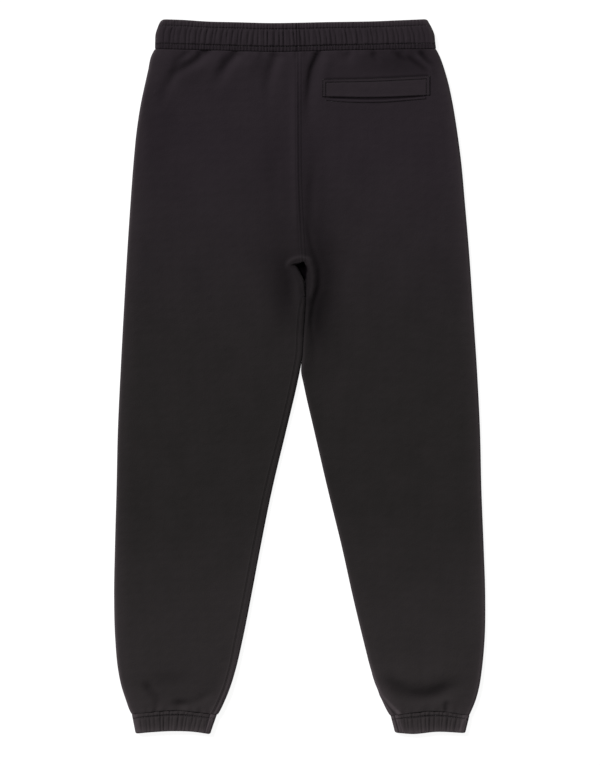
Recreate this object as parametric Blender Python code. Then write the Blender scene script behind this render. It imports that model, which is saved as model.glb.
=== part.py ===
"""Fleece jogger sweatpants, laid flat on a surface with the back side up.

Tables and lengths are in millimetres. X runs across, the wearer's left leg at -X. +Y runs up to the
waist and +Z up from the surface. A drop is a distance down the garment from the waist's top edge.
Each panel is a cloth wall swept along the garment: at every station one path in the X-Z plane gives
the outer face, and the inner face is the same path moved in by the wall.
"""

import math
from collections import namedtuple

import bmesh
import bpy
import numpy as np
from mathutils import Vector
from mathutils.bvhtree import BVHTree

MM = 0.001
LENGTH = 1000.0  # waist edge to the lowest point of the cuffs
WALL = 2.8  # brushed fleece, uncompressed
SEAM_GAP = 0.3
LEAST_TOP = WALL + SEAM_GAP + WALL + 0.2  # back panel's outer face where it lies on the front panel
PANEL_TOP = 42.0  # drop of the seam between waistband and legs, at the sides
PANEL_END = 972.0  # drop of the seam between leg and cuff, at the outer side
PIT_TOP = 339.0  # drop at which the centre-back seam ends and the fork opens
PIT_END = 369.0  # drop at which the fork closes and the front panel turns up round the inner fold
FOOT = WALL + SEAM_GAP + 0.15  # height at which the fork's rim stands on the front panels
RIM_RADIUS = 4.0
OUTSEAM_ANGLE = math.radians(-18.0)  # the outseam lies just under the side fold

Table = namedtuple("Table", "columns rows")

# Distance of each side fold from the centre plane.
OUTLINE = Table(
    ("drop", "left", "right"),
    (
        (42.0, 203.0, 190.5),
        (50.4, 207.3, 194.9),
        (70.0, 211.8, 202.2),
        (91.0, 216.6, 208.2),
        (112.0, 221.2, 212.7),
        (154.0, 227.9, 219.7),
        (196.0, 232.1, 225.3),
        (259.0, 236.9, 231.1),
        (322.0, 241.1, 236.5),
        (406.0, 246.0, 242.2),
        (490.0, 250.5, 247.8),
        (574.0, 254.4, 252.0),
        (658.0, 256.3, 254.0),
        (742.0, 258.6, 257.3),
        (805.0, 259.7, 259.3),
        (868.0, 258.0, 258.4),
        (910.0, 254.0, 254.5),
        (931.0, 249.8, 251.3),
        (952.0, 243.2, 245.7),
        (968.8, 237.0, 238.6),
        (975.0, 233.6, 235.6),
    ),
)

# X of each leg's inner fold, from the fork down.
INNER_FOLD = Table(
    ("drop", "left", "right"),
    (
        (341.6, -4.5, 11.1),
        (350.0, -2.0, 9.4),
        (358.4, 0.6, 8.6),
        (365.4, 3.2, 8.0),
        (372.4, 5.4, 7.4),
        (380.8, 6.7, 7.2),
        (414.4, 5.7, 6.2),
        (438.2, 4.0, 4.5),
        (473.2, 2.3, 2.9),
        (483.0, 1.2, 1.9),
        (490.0, 0.1, 1.8),
        (511.0, -4.6, 6.0),
        (574.0, -19.5, 20.3),
        (658.0, -39.5, 39.8),
        (742.0, -56.4, 60.3),
        (805.0, -68.3, 74.2),
        (868.0, -80.8, 89.3),
        (910.0, -90.6, 100.1),
        (931.0, -96.9, 106.8),
        (952.0, -105.1, 115.6),
        (968.8, -113.2, 124.4),
        (975.0, -117.0, 128.6),
    ),
)

# X of the centre seams, front and back, down to the fork.
CENTRE_SEAM = Table(
    ("drop", "x"),
    ((42.0, -1.8), (150.0, -1.6), (224.0, -1.0), (302.0, 2.4), (336.0, 4.3), (369.0, 6.4)),
)

# Length of front-panel cloth past the inner fold's edge, up onto the back (below it when negative).
INSEAM = Table(
    ("drop", "left", "right"),
    (
        (372.4, -1.5, -1.5),
        (380.8, 2.5, -1.5),
        (389.0, 7.0, -1.5),
        (412.0, 9.0, -1.5),
        (480.0, 10.0, -1.5),
        (532.0, 9.0, -1.5),
        (776.0, 7.5, -1.5),
        (836.0, 9.6, -1.5),
        (916.0, 11.8, -1.5),
        (926.0, 12.0, 0.5),
        (938.0, 12.2, 4.5),
        (952.0, 12.4, 8.0),
        (975.0, 12.8, 11.5),
    ),
)

# Height of the back's outer face at the side fold, mid panel and inner edge.
HEIGHT = Table(
    ("drop", "side", "middle", "inner"),
    (
        (42.0, 9.0, 8.8, 9.0),
        (58.0, 9.6, 10.0, 9.8),
        (80.0, 9.0, 9.4, 9.4),
        (120.0, 8.2, 8.4, 8.8),
        (200.0, 7.6, 7.4, 8.2),
        (290.0, 7.2, 7.2, 9.2),
        (336.0, 7.2, 7.2, 11.0),
        (369.0, 7.2, 7.2, 11.4),
        (400.0, 7.0, 7.0, 10.0),
        (440.0, 7.0, 7.0, 8.4),
        (500.0, 7.0, 6.8, 7.2),
        (700.0, 7.0, 6.7, 7.0),
        (860.0, 7.2, 7.0, 7.2),
        (920.0, 8.0, 8.4, 8.0),
        (944.0, 8.6, 10.2, 8.8),
        (960.0, 8.8, 10.2, 9.0),
        (975.0, 8.4, 8.6, 8.6),
    ),
)
EDGE_BLEND = 24.0  # distance over which the side and inner heights give way to the middle one

# Seams between the legs and the bands, as drops across X.
WAIST_SEAM = Table(
    ("x", "drop"),
    ((-203.0, 41.2), (-120.0, 43.0), (-38.0, 45.2), (60.0, 43.0), (120.0, 41.9), (191.0, 41.0)),
)
CUFF_SEAM_LEFT = Table(("x", "drop"), ((-234.0, 971.4), (-175.0, 966.2), (-116.0, 972.0)))
CUFF_SEAM_RIGHT = Table(("x", "drop"), ((128.0, 973.6), (191.0, 967.2), (236.0, 973.2)))
SEAM_FADE = 60.0  # the stations straighten out over this distance from a seam

# Largest folds: route as (x, drop) points, how far each reaches to a side, and its lift. A held fold
# starts at a seam and dies away; a free one fades at both ends.
Fold = namedtuple("Fold", "route reach lift held")
FOLDS = (
    Fold(((-129.4, 42.0), (-146.9, 60.2), (-174.9, 73.5), (-196.0, 126.0)), 9.0, -3.2, True),
    Fold(((-155.8, 46.0), (-174.0, 61.6), (-180.5, 80.0)), 8.0, -1.4, True),
    Fold(((-88.0, 45.0), (-112.0, 71.4), (-120.0, 90.0)), 10.0, -2.4, True),
    Fold(((-35.0, 46.0), (-44.5, 77.0), (-46.0, 110.0)), 10.0, -1.6, True),
    Fold(((-66.0, 44.0), (-80.0, 80.0)), 9.0, 1.2, True),
    Fold(((-160.0, 44.0), (-190.0, 90.0)), 10.0, 1.0, True),
    Fold(((-1.5, 42.0), (-1.5, 200.0), (4.3, 336.0)), 8.0, 1.4, True),
    Fold(((26.7, 42.0), (13.9, 92.4), (9.2, 124.6), (17.0, 200.0)), 8.5, -3.8, True),
    Fold(((14.0, 130.0), (19.0, 200.0), (22.0, 260.0), (15.0, 325.0)), 11.0, -1.5, False),
    Fold(((44.0, 42.0), (30.0, 92.0), (26.0, 140.0)), 10.0, 1.6, True),
    Fold(((102.8, 42.0), (109.0, 60.0), (116.0, 72.0)), 8.0, -2.4, True),
    Fold(((84.0, 42.0), (88.0, 70.0)), 10.0, 0.9, True),
    Fold(((135.9, 42.0), (162.0, 62.0), (180.0, 76.0)), 8.0, -2.6, True),
    Fold(((168.0, 42.0), (184.7, 65.0), (194.0, 90.0)), 8.0, -1.8, True),
    Fold(((-35.0, 176.0), (-35.0, 284.0)), 14.0, -0.8, False),
    Fold(((-210.0, 96.0), (-203.0, 170.0)), 12.0, -0.8, False),
    Fold(((12.7, 329.0), (21.5, 348.0), (20.5, 374.0), (16.5, 400.0), (10.0, 430.0)), 5.5, -2.6, False),
    Fold(((-9.0, 326.0), (-17.0, 342.0), (-13.0, 366.0), (-6.0, 396.0)), 6.0, -1.8, False),
    Fold(
        ((130.0, 922.0), (146.0, 932.0), (166.0, 937.5), (190.0, 934.0), (214.0, 924.0)), 7.5, -3.2, False
    ),
    Fold(((140.0, 948.0), (168.0, 953.0), (196.0, 947.0)), 9.0, 0.8, False),
    Fold(((203.5, 948.0), (201.0, 972.0)), 7.0, -1.8, False),
    Fold(((-222.0, 928.0), (-200.0, 958.0)), 8.0, -2.4, False),
    Fold(((-228.0, 918.0), (-166.0, 918.4)), 7.0, -0.9, False),
    Fold(((-170.0, 944.0), (-168.0, 966.0)), 8.0, -1.7, False),
    Fold(((-142.0, 940.0), (-140.0, 962.0)), 8.0, -1.3, False),
)

# Stations down the legs: from one drop to the next in so many steps.
Span = namedtuple("Span", "start end steps")
SPANS = (
    Span(PANEL_TOP, 84.0, 5),
    Span(84.0, 120.0, 3),
    Span(120.0, 160.0, 2),
    Span(160.0, 310.0, 4),
    Span(310.0, 336.0, 2),
    Span(341.6, 365.4, 3),
    Span(372.4, 389.0, 2),
    Span(389.0, 440.0, 3),
    Span(440.0, 500.0, 2),
    Span(500.0, 840.0, 5),
    Span(840.0, 908.0, 2),
    Span(908.0, PANEL_END, 8),
)
BACK_STARTS = (0.0, 2.6, 5.2, 8.0)  # lanes at the side fold, as lengths along the path
BACK_ENDS = (13.0, 8.6, 5.6, 2.8, 0.0)  # lanes at the inner edge, as lengths from the path's end
BACK_MIDDLE_LANES = 11
FRONT_STARTS = {"left": (0.0, 4.6, 9.2, 12.2, 15.4, 19.0, 26.0), "right": (0.0, 2.2, 4.6, 10.0, 15.0, 22.0)}
FRONT_ENDS = (9.0, 5.0, 2.6, 0.0)

Leg = namedtuple("Leg", "name sign")
LEGS = (Leg("left", -1.0), Leg("right", 1.0))

# A gathered band laid flat: a closed tube, its upper wall gathered and its underside flat.
Band = namedtuple(
    "Band", "name gathers wall height gather_lift left right top bottom top_gap free_edge slant rings"
)
UNDER_TUCK = 0.8  # a band's lower layer stops this far inside its free edge
# Rings down a band's wall: share of the band's depth, move in from the outer face as a share of the
# wall, share of the gather's lift, and depth of a stitched groove.
WAIST_RINGS = Table(
    ("along", "inset", "gain", "groove"),
    (
        (0.0, 0.5, 0.3, 0.0),
        (0.02, 0.14, 0.4, 0.0),
        (0.07, 0.0, 0.5, 0.0),
        (0.17, 0.0, 0.3, 1.3),
        (0.26, 0.0, 1.0, 0.0),
        (0.6, 0.0, 1.0, 0.0),
        (0.77, 0.0, 0.35, 1.3),
        (0.86, 0.0, 0.7, 0.2),
        (1.0, 0.1, 0.5, 1.2),
        (1.0, 1.0, 0.0, 0.0),
        (0.08, 1.0, 0.0, 0.0),
    ),
)
CUFF_RINGS = Table(
    ("along", "inset", "gain", "groove"),
    (
        (0.0, 0.1, 0.4, 0.8),
        (0.09, 0.0, 0.6, 0.1),
        (0.17, 0.0, 0.3, 1.0),
        (0.3, 0.0, 1.0, 0.0),
        (0.8, 0.0, 1.0, 0.0),
        (0.92, 0.0, 0.5, 0.1),
        (0.98, 0.14, 0.4, 0.0),
        (1.0, 0.5, 0.3, 0.0),
        (0.9, 1.0, 0.0, 0.0),
        (0.0, 1.0, 0.0, 0.0),
    ),
)
WAIST_TOP = Table(("x", "drop"), ((-193.0, 0.8), (-158.0, 0.6), (-38.0, 5.8), (100.0, 3.2), (180.0, 0.0)))
WAIST_LEFT = Table(
    ("along", "x"),
    ((0.0, -190.5), (0.1, -195.6), (0.25, -199.5), (0.5, -202.6), (0.75, -201.8), (1.0, -203.0)),
)
WAIST_RIGHT = Table(
    ("along", "x"),
    ((0.0, 177.5), (0.1, 181.2), (0.25, 185.6), (0.5, 189.6), (0.75, 188.9), (1.0, 190.5)),
)
WAIST_SLANT = Table(("x", "lean"), ((-200.0, 0.0), (-150.0, 3.5), (-90.0, 5.0), (-40.0, 0.0), (190.0, 1.0)))
CUFF_SLANT = Table(("x", "lean"), ((-240.0, 0.0), (240.0, 0.0)))
CUFF_HEM_LEFT = Table(("x", "drop"), ((-230.0, 997.6), (-176.0, 995.2), (-126.0, 1000.0)))
CUFF_HEM_RIGHT = Table(("x", "drop"), ((134.0, 997.6), (158.0, 999.4), (191.0, 996.4), (230.0, 998.0)))
CUFF_HEMS = {"left": CUFF_HEM_LEFT, "right": CUFF_HEM_RIGHT}
BAND_SIDE_STEPS = 4
BAND_UNDER_STEPS = 10

# The welt pocket on the right back: its stitched strip and the folded lip under the opening.
Strip = namedtuple("Strip", "name left right upper lower thickness swell steps")
POCKET_UPPER = Table(("x", "drop"), ((32.0, 82.8), (105.0, 82.0), (182.0, 78.6)))
POCKET_LOWER = Table(("x", "drop"), ((32.0, 107.6), (107.0, 108.8), (182.0, 105.0)))
LIP_UPPER = Table(("x", "drop"), ((36.0, 109.6), (107.0, 111.9), (178.0, 107.2)))
LIP_LOWER = Table(("x", "drop"), ((36.0, 112.8), (64.0, 115.6), (107.0, 116.0), (178.0, 110.0)))
POCKET_STRIPS = (
    Strip("pocket_welt", 32.2, 181.6, POCKET_UPPER, POCKET_LOWER, 1.6, 0.0, (20, 3)),
    Strip("pocket_lip", 36.0, 176.0, LIP_UPPER, LIP_LOWER, 1.8, 0.8, (20, 2)),
)

FLEECE = (0.024, 0.020, 0.022)
BAND_FLEECE = (0.028, 0.024, 0.026)


def curve(table, name):
    """Return a smooth function through one named column of a table."""
    rows = np.array(table.rows, dtype=float)
    knots = rows[:, 0]
    values = rows[:, table.columns.index(name)]
    if len(knots) > 2:
        slopes = np.gradient(values, knots)
    else:
        slopes = np.full(len(knots), (values[-1] - values[0]) / (knots[-1] - knots[0]))

    def at(where):
        where = np.clip(np.asarray(where, dtype=float), knots[0], knots[-1])
        index = np.clip(np.searchsorted(knots, where, side="right") - 1, 0, len(knots) - 2)
        span = knots[index + 1] - knots[index]
        t = (where - knots[index]) / span
        start, end = values[index], values[index + 1]
        rise, fall = slopes[index] * span, slopes[index + 1] * span
        return (
            start * (1 + 2 * t) * (1 - t) ** 2
            + rise * t * (1 - t) ** 2
            + end * t**2 * (3 - 2 * t)
            - fall * t**2 * (1 - t)
        )

    return at


SIDE = {leg.name: curve(OUTLINE, leg.name) for leg in LEGS}
FORK = {leg.name: curve(INNER_FOLD, leg.name) for leg in LEGS}
INSEAM_REACH = {leg.name: curve(INSEAM, leg.name) for leg in LEGS}
CUFF_SEAMS = {"left": CUFF_SEAM_LEFT, "right": CUFF_SEAM_RIGHT}
CUFF_SEAM = {name: curve(table, "drop") for name, table in CUFF_SEAMS.items()}
centre_seam = curve(CENTRE_SEAM, "x")
side_height = curve(HEIGHT, "side")
middle_height = curve(HEIGHT, "middle")
inner_height = curve(HEIGHT, "inner")
waist_seam = curve(WAIST_SEAM, "drop")


def fold_lift(fold, x, drop):
    """Return how far one fold raises the cloth at each point."""
    route = np.array(fold.route)
    lengths = np.hypot(*np.diff(route, axis=0).T)
    total = lengths.sum()
    nearest = np.full(np.shape(x), np.inf)
    along = np.zeros(np.shape(x))
    walked = 0.0
    for (x0, d0), (x1, d1), length in zip(route[:-1], route[1:], lengths):
        t = np.clip(((x - x0) * (x1 - x0) + (drop - d0) * (d1 - d0)) / length**2, 0.0, 1.0)
        distance = np.hypot(x - (x0 + t * (x1 - x0)), drop - (d0 + t * (d1 - d0)))
        closer = distance < nearest
        nearest = np.where(closer, distance, nearest)
        along = np.where(closer, (walked + t * length) / total, along)
        walked += length
    fade = (1.0 - along) ** 0.7 if fold.held else (4.0 * along * (1.0 - along)) ** 0.6
    return fold.lift * fade * np.exp(-((nearest / fold.reach) ** 2))


def straight(table):
    """Return the straight line between the ends of a seam's table: the seam as it runs underneath."""
    (x0, drop0), (x1, drop1) = table.rows[0], table.rows[-1]
    return lambda x: drop0 + (x - x0) / (x1 - x0) * (drop1 - drop0)


def true_drop(leg, x, station, over=True):
    """Return the drop of a station at x, bent to follow the curved seams above and below it."""
    near_waist = np.clip(1.0 - (station - PANEL_TOP) / SEAM_FADE, 0.0, 1.0) ** 2
    near_cuff = np.clip(1.0 - (PANEL_END - station) / SEAM_FADE, 0.0, 1.0) ** 2
    waist = np.where(over, waist_seam(x), straight(WAIST_SEAM)(x))
    cuff = np.where(over, CUFF_SEAM[leg.name](x), straight(CUFF_SEAMS[leg.name])(x))
    return station + near_waist * (waist + SEAM_GAP - PANEL_TOP) + near_cuff * (cuff - PANEL_END)


def inner_edge(leg, station):
    """Return the distance of a back panel's inner edge from the centre plane, on the leg's own side."""
    if station < PIT_TOP:
        return leg.sign * float(centre_seam(station))
    return leg.sign * float(FORK[leg.name](station))


def top_height(leg, reach, station):
    """Return the height of the back's outer face, reach being the distance from the centre plane."""
    x = leg.sign * reach
    from_side = float(SIDE[leg.name](station)) - reach
    from_inner = reach - inner_edge(leg, station)
    middle = float(middle_height(station))
    height = (
        middle
        + (float(side_height(station)) - middle) * np.exp(-((from_side / EDGE_BLEND) ** 2))
        + (float(inner_height(station)) - middle) * np.exp(-((from_inner / EDGE_BLEND) ** 2))
    )
    drop = true_drop(leg, x, station)
    for fold in FOLDS:
        height = height + fold_lift(fold, x, drop)
    return np.maximum(height, LEAST_TOP)


def arc(centre, radius, start, end, steps=14):
    """Return points on an arc in the section plane, angles measured from outwards."""
    angles = np.linspace(start, end, steps)
    return np.column_stack((centre[0] + radius * np.cos(angles), centre[1] + radius * np.sin(angles)))


def fold_radius(leg, station, edge, inward, guess):
    """Return the radius at which a fold's circle meets the back's outer face."""
    return float(top_height(leg, np.array([edge + inward * guess]), station)[0]) / 2


def leg_section(leg, station):
    """Return the sizes that a station's two paths share."""
    side = float(SIDE[leg.name](station))
    inner = inner_edge(leg, station)
    side_radius = fold_radius(leg, station, side, -1.0, float(side_height(station)) / 2)
    inner_radius = fold_radius(leg, station, inner, 1.0, float(inner_height(station)) / 2)
    return side, inner, side_radius, inner_radius


def inseam_place(leg, station, inner, radius):
    """Return the inseam's angle on the inner fold, and how far past the fold's top it lies."""
    reach = float(INSEAM_REACH[leg.name](station))
    past_top = max(reach - radius * math.pi / 2, 0.0)
    return math.pi - (reach - past_top) / radius, past_top


def back_path(leg, station):
    """Return the back panel's outer face at a station, from the outseam over to its inner seam."""
    side, inner, side_radius, inner_radius = leg_section(leg, station)
    side_fold = arc((side - side_radius, side_radius), side_radius, OUTSEAM_ANGLE, math.pi / 2)
    if station < PIT_TOP:
        reach = np.linspace(side - side_radius, inner, 160)
        ends = []
    elif station < PIT_END:
        reach = np.linspace(side - side_radius, inner + RIM_RADIUS, 160)
        rim_top = float(top_height(leg, reach[-1:], station)[0])
        rim = arc((inner + RIM_RADIUS, rim_top - RIM_RADIUS), RIM_RADIUS, math.pi / 2, math.pi)
        ends = [rim[1:], [(inner, FOOT)]]
    else:
        angle, past_top = inseam_place(leg, station, inner, inner_radius)
        reach = np.linspace(side - side_radius, inner + inner_radius + past_top, 160)
        ends = []
        if past_top == 0.0:
            ends = [arc((inner + inner_radius, inner_radius), inner_radius, math.pi / 2, angle)[1:]]
    top = np.column_stack((reach, top_height(leg, reach, station)))
    return np.vstack([side_fold[:-1], top, *ends])


def front_path(leg, station):
    """Return the front panel's outer face at a station, from its inner seam under to the outseam."""
    side, inner, side_radius, inner_radius = leg_section(leg, station)
    side_fold = arc((side - side_radius, side_radius), side_radius, -math.pi / 2, OUTSEAM_ANGLE)
    if station < PIT_END:
        start = leg.sign * float(centre_seam(station))
        return np.vstack([[(start, 0.0)], side_fold])
    angle, past_top = inseam_place(leg, station, inner, inner_radius)
    pieces = []
    if past_top > 0.0:
        reach = np.linspace(inner + inner_radius + past_top, inner + inner_radius, 12)
        pieces.append(np.column_stack((reach, top_height(leg, reach, station)))[:-1])
    fold = arc((inner + inner_radius, inner_radius), inner_radius, angle, 1.5 * math.pi, 24)
    return np.vstack([*pieces, fold, side_fold])


def lanes_along(path, starts, middle, ends):
    """Return outer and inner points on a path, at set lengths from both ends and evenly between."""
    steps = np.hypot(*np.diff(path, axis=0).T)
    keep = np.append(True, steps > 1e-7)
    path = path[keep]
    length = np.append(0.0, np.cumsum(np.hypot(*np.diff(path, axis=0).T)))
    total = length[-1]
    even = np.linspace(starts[-1], total - ends[0], middle + 2)[1:-1]
    wanted = np.concatenate((starts, even, total - np.array(ends)))
    tangents = np.gradient(path, length, axis=0, edge_order=2)
    outer = np.column_stack([np.interp(wanted, length, path[:, axis]) for axis in (0, 1)])
    run = np.column_stack([np.interp(wanted, length, tangents[:, axis]) for axis in (0, 1)])
    run /= np.hypot(run[:, 0], run[:, 1])[:, None]
    inner = outer - np.column_stack((run[:, 1], -run[:, 0])) * WALL
    for points in (outer, inner):
        points[0] += run[0] * SEAM_GAP / 2
        points[-1] -= run[-1] * SEAM_GAP / 2
    return outer, inner


def place(leg, points, station):
    """Return section points as model points, in millimetres."""
    x = leg.sign * points[:, 0]
    y = LENGTH / 2 - true_drop(leg, x, station, over=points[:, 1] > WALL + SEAM_GAP / 2)
    return np.column_stack((x, y, points[:, 1]))


def stations():
    """Return every station's drop, from the waist seam to the cuff seam."""
    drops = []
    for span in SPANS:
        for drop in np.linspace(span.start, span.end, span.steps + 1):
            if not drops or drop - drops[-1] > 0.5:
                drops.append(float(drop))
    return drops


def fleece(name, colour):
    """Return a plain brushed-cloth material."""
    material = bpy.data.materials.new(name)
    material.use_nodes = True
    shader = material.node_tree.nodes["Principled BSDF"]
    shader.inputs["Base Color"].default_value = (*colour, 1.0)
    shader.inputs["Roughness"].default_value = 0.9
    shader.inputs["Metallic"].default_value = 0.0
    shader.inputs["Sheen Weight"].default_value = 0.3
    return material


def make_object(name, points, faces, colour, parent):
    """Make one closed piece from points in millimetres and its faces."""
    mesh = bpy.data.meshes.new(name)
    mesh.from_pydata([tuple(point) for point in np.asarray(points) * MM], [], faces)
    shape = bmesh.new()
    shape.from_mesh(mesh)
    bmesh.ops.recalc_face_normals(shape, faces=shape.faces)
    bmesh.ops.triangulate(shape, faces=shape.faces)
    shape.to_mesh(mesh)
    shape.free()
    mesh.shade_smooth()
    mesh.set_sharp_from_angle(angle=math.radians(50.0))
    mesh.materials.append(fleece(name + "_cloth", colour))
    piece = bpy.data.objects.new(name, mesh)
    bpy.context.scene.collection.objects.link(piece)
    piece.parent = parent
    return piece


def sheet_faces(rows, columns):
    """Return the faces of a closed wall: an outer grid, then an inner one, joined round the edge."""
    inner = rows * columns

    def at(row, column, base=0):
        return base + row * columns + column

    faces = []
    for row in range(rows - 1):
        for column in range(columns - 1):
            corners = ((row, column), (row, column + 1), (row + 1, column + 1), (row + 1, column))
            faces.append([at(*corner) for corner in corners])
            faces.append([at(*corner, inner) for corner in reversed(corners)])
    rim = [(0, column) for column in range(columns)]
    rim += [(row, columns - 1) for row in range(1, rows)]
    rim += [(rows - 1, column) for column in range(columns - 2, -1, -1)]
    rim += [(row, 0) for row in range(rows - 2, 0, -1)]
    for first, second in zip(rim, rim[1:] + rim[:1]):
        faces.append([at(*second), at(*first), at(*first, inner), at(*second, inner)])
    return faces


def make_panel(name, leg, path, starts, middle, ends, parent):
    """Make a leg panel from its path at every station."""
    outer_rows, inner_rows = [], []
    for station in stations():
        outer, inner = lanes_along(path(leg, station), starts, middle, ends)
        outer_rows.append(place(leg, outer, station))
        inner_rows.append(place(leg, inner, station))
    rows, columns = len(outer_rows), len(outer_rows[0])
    points = np.vstack(outer_rows + inner_rows)
    return make_object(name, points, sheet_faces(rows, columns), FLEECE, parent)


def gather_places(count):
    """Return the crests and valleys of a band's gathers as uneven shares of its width, with lifts."""
    places = []
    for step in range(2 * count + 1):
        crest = step % 2 == 1
        drift = 0.24 * math.sin(1.9 * step + 0.6) + 0.14 * math.sin(0.73 * step)
        share = (step + (0.0 if step in (0, 2 * count) else drift)) / (2 * count)
        size = 0.72 + 0.28 * math.sin(2.3 * step + 1.1)
        places.append((share, size if crest else -size))
    return places


def band_ring(band, row):
    """Return one ring round a band, counted over the top, down the right side and back underneath."""
    along, inset, gain, groove = row
    move = inset * band.wall
    left = float(band.left(along)) + move
    right = float(band.right(along)) - move
    radius = band.height / 2 - move
    section = []
    for share, lift in gather_places(band.gathers):
        x = left + radius + share * (right - left - 2 * radius)
        lean = float(band.slant(x)) * (0.5 - along) * math.sin(math.pi * share)
        raised = (gain * lift * band.gather_lift - groove) * math.sin(math.pi * share) ** 0.15
        section.append((x + lean, band.height / 2 + radius + (raised if inset < 0.6 else 0.0)))
    for step in range(1, BAND_SIDE_STEPS):
        angle = math.pi / 2 - math.pi * step / BAND_SIDE_STEPS
        x = right - radius + radius * math.cos(angle)
        section.append((x, band.height / 2 + radius * math.sin(angle)))
    for step in range(BAND_UNDER_STEPS + 1):
        x = right - radius - step / BAND_UNDER_STEPS * (right - left - 2 * radius)
        section.append((x, band.height / 2 - radius))
    for step in range(1, BAND_SIDE_STEPS):
        angle = 1.5 * math.pi - math.pi * step / BAND_SIDE_STEPS
        x = left + radius + radius * math.cos(angle)
        section.append((x, band.height / 2 + radius * math.sin(angle)))
    over = {"top": curve(band.top, "drop"), "bottom": curve(band.bottom, "drop")}
    under = {"top": straight(band.top), "bottom": straight(band.bottom)}
    tuck = UNDER_TUCK if band.free_edge == "top" else -UNDER_TUCK
    under[band.free_edge] = lambda x: over[band.free_edge](x) + tuck
    points = []
    for x, z in section:
        edges = over if z > band.height / 2 - 0.01 else under
        drop = (float(edges["top"](x)) + band.top_gap) * (1.0 - along) + float(edges["bottom"](x)) * along
        points.append((x, LENGTH / 2 - drop, z))
    return points


def make_band(band, parent):
    """Make a gathered band from its rings, joined end to end down the outside and up the inside."""
    rings = [band_ring(band, row) for row in band.rings.rows]
    around = len(rings[0])
    faces = []
    for ring in range(len(rings)):
        following = (ring + 1) % len(rings)
        for column in range(around):
            beside = (column + 1) % around
            faces.append(
                [
                    ring * around + column,
                    ring * around + beside,
                    following * around + beside,
                    following * around + column,
                ]
            )
    points = np.array([point for ring in rings for point in ring])
    return make_object(band.name, points, faces, BAND_FLEECE, parent)


def make_strip(strip, carrier, parent):
    """Make a flat pocket piece from the points of the panel that it lies on, moved out."""
    across, down = strip.steps
    upper, lower = curve(strip.upper, "drop"), curve(strip.lower, "drop")
    mesh = carrier.data
    tree = BVHTree.FromPolygons(
        [vertex.co.copy() for vertex in mesh.vertices], [tuple(face.vertices) for face in mesh.polygons]
    )

    def surface(x, drop):
        origin = Vector((x, LENGTH / 2 - drop, 60.0)) * MM
        return tree.ray_cast(origin, Vector((0.0, 0.0, -1.0)))[0].z / MM

    below, above = [], []
    step_x = (strip.right - strip.left) / across
    for row in range(down + 1):
        for column in range(across + 1):
            x = strip.left + column * step_x
            share = row / down
            drop = float(upper(x)) * (1 - share) + float(lower(x)) * share
            around = [
                surface(x + step_x * side, drop + end)
                for side in (-1.0, -0.5, 0.0, 0.5, 1.0)
                for end in (-4.0, 0.0, 4.0)
            ]
            base = max(around) + SEAM_GAP
            sag = strip.swell * math.sin(math.pi * column / across)
            below.append((x, LENGTH / 2 - drop, base))
            above.append((x, LENGTH / 2 - drop, base + strip.thickness + sag))
    points = np.array(above + below)
    return make_object(strip.name, points, sheet_faces(down + 1, across + 1), FLEECE, parent)


def clear_scene():
    """Remove whatever the scene holds."""
    for item in list(bpy.data.objects):
        bpy.data.objects.remove(item, do_unlink=True)


def bands():
    """Return the waistband and the two cuffs."""
    made = [
        Band(
            name="waistband",
            gathers=52,
            wall=5.5,
            height=12.0,
            gather_lift=1.1,
            left=curve(WAIST_LEFT, "x"),
            right=curve(WAIST_RIGHT, "x"),
            top=WAIST_TOP,
            bottom=WAIST_SEAM,
            top_gap=0.0,
            free_edge="top",
            slant=curve(WAIST_SLANT, "lean"),
            rings=WAIST_RINGS,
        )
    ]
    edges = {
        "left": (((0.0, -234.0), (1.0, -228.6)), ((0.0, -116.4), (1.0, -126.0))),
        "right": (((0.0, 128.4), (1.0, 134.6)), ((0.0, 235.8), (1.0, 229.6))),
    }
    for leg in LEGS:
        low, high = edges[leg.name]
        made.append(
            Band(
                name="cuff_" + leg.name,
                gathers=13,
                wall=4.3,
                height=9.6,
                gather_lift=0.9,
                left=curve(Table(("along", "x"), low), "x"),
                right=curve(Table(("along", "x"), high), "x"),
                top=CUFF_SEAMS[leg.name],
                bottom=CUFF_HEMS[leg.name],
                top_gap=SEAM_GAP,
                free_edge="bottom",
                slant=curve(CUFF_SLANT, "lean"),
                rings=CUFF_RINGS,
            )
        )
    return made


def main():
    """Build the garment."""
    clear_scene()
    root = bpy.data.objects.new("joggers", None)
    bpy.context.scene.collection.objects.link(root)
    backs = {}
    for leg in LEGS:
        backs[leg.name] = make_panel(
            "back_leg_" + leg.name, leg, back_path, BACK_STARTS, BACK_MIDDLE_LANES, BACK_ENDS, root
        )
        make_panel("front_leg_" + leg.name, leg, front_path, FRONT_STARTS[leg.name], 0, FRONT_ENDS, root)
    for band in bands():
        make_band(band, root)
    for strip in POCKET_STRIPS:
        make_strip(strip, backs["right"], root)


main()
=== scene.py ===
"""Looks of a pair of fleece joggers, laid flat on a surface with the back side up.

Every length is in millimetres until a mesh is made. X runs across, +Y up to the waist and +Z up from
the surface. A drop is a distance down the garment from the waist's top edge, and a reach is a
distance from the centre plane towards a leg's side fold. Each cloth piece is a thin closed wall.
"""

import logging
import math
from dataclasses import dataclass, field
from enum import Enum
from functools import cached_property
from typing import Callable, Sequence

import bpy
import numpy as np
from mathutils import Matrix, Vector
from mathutils.bvhtree import BVHTree


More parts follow.
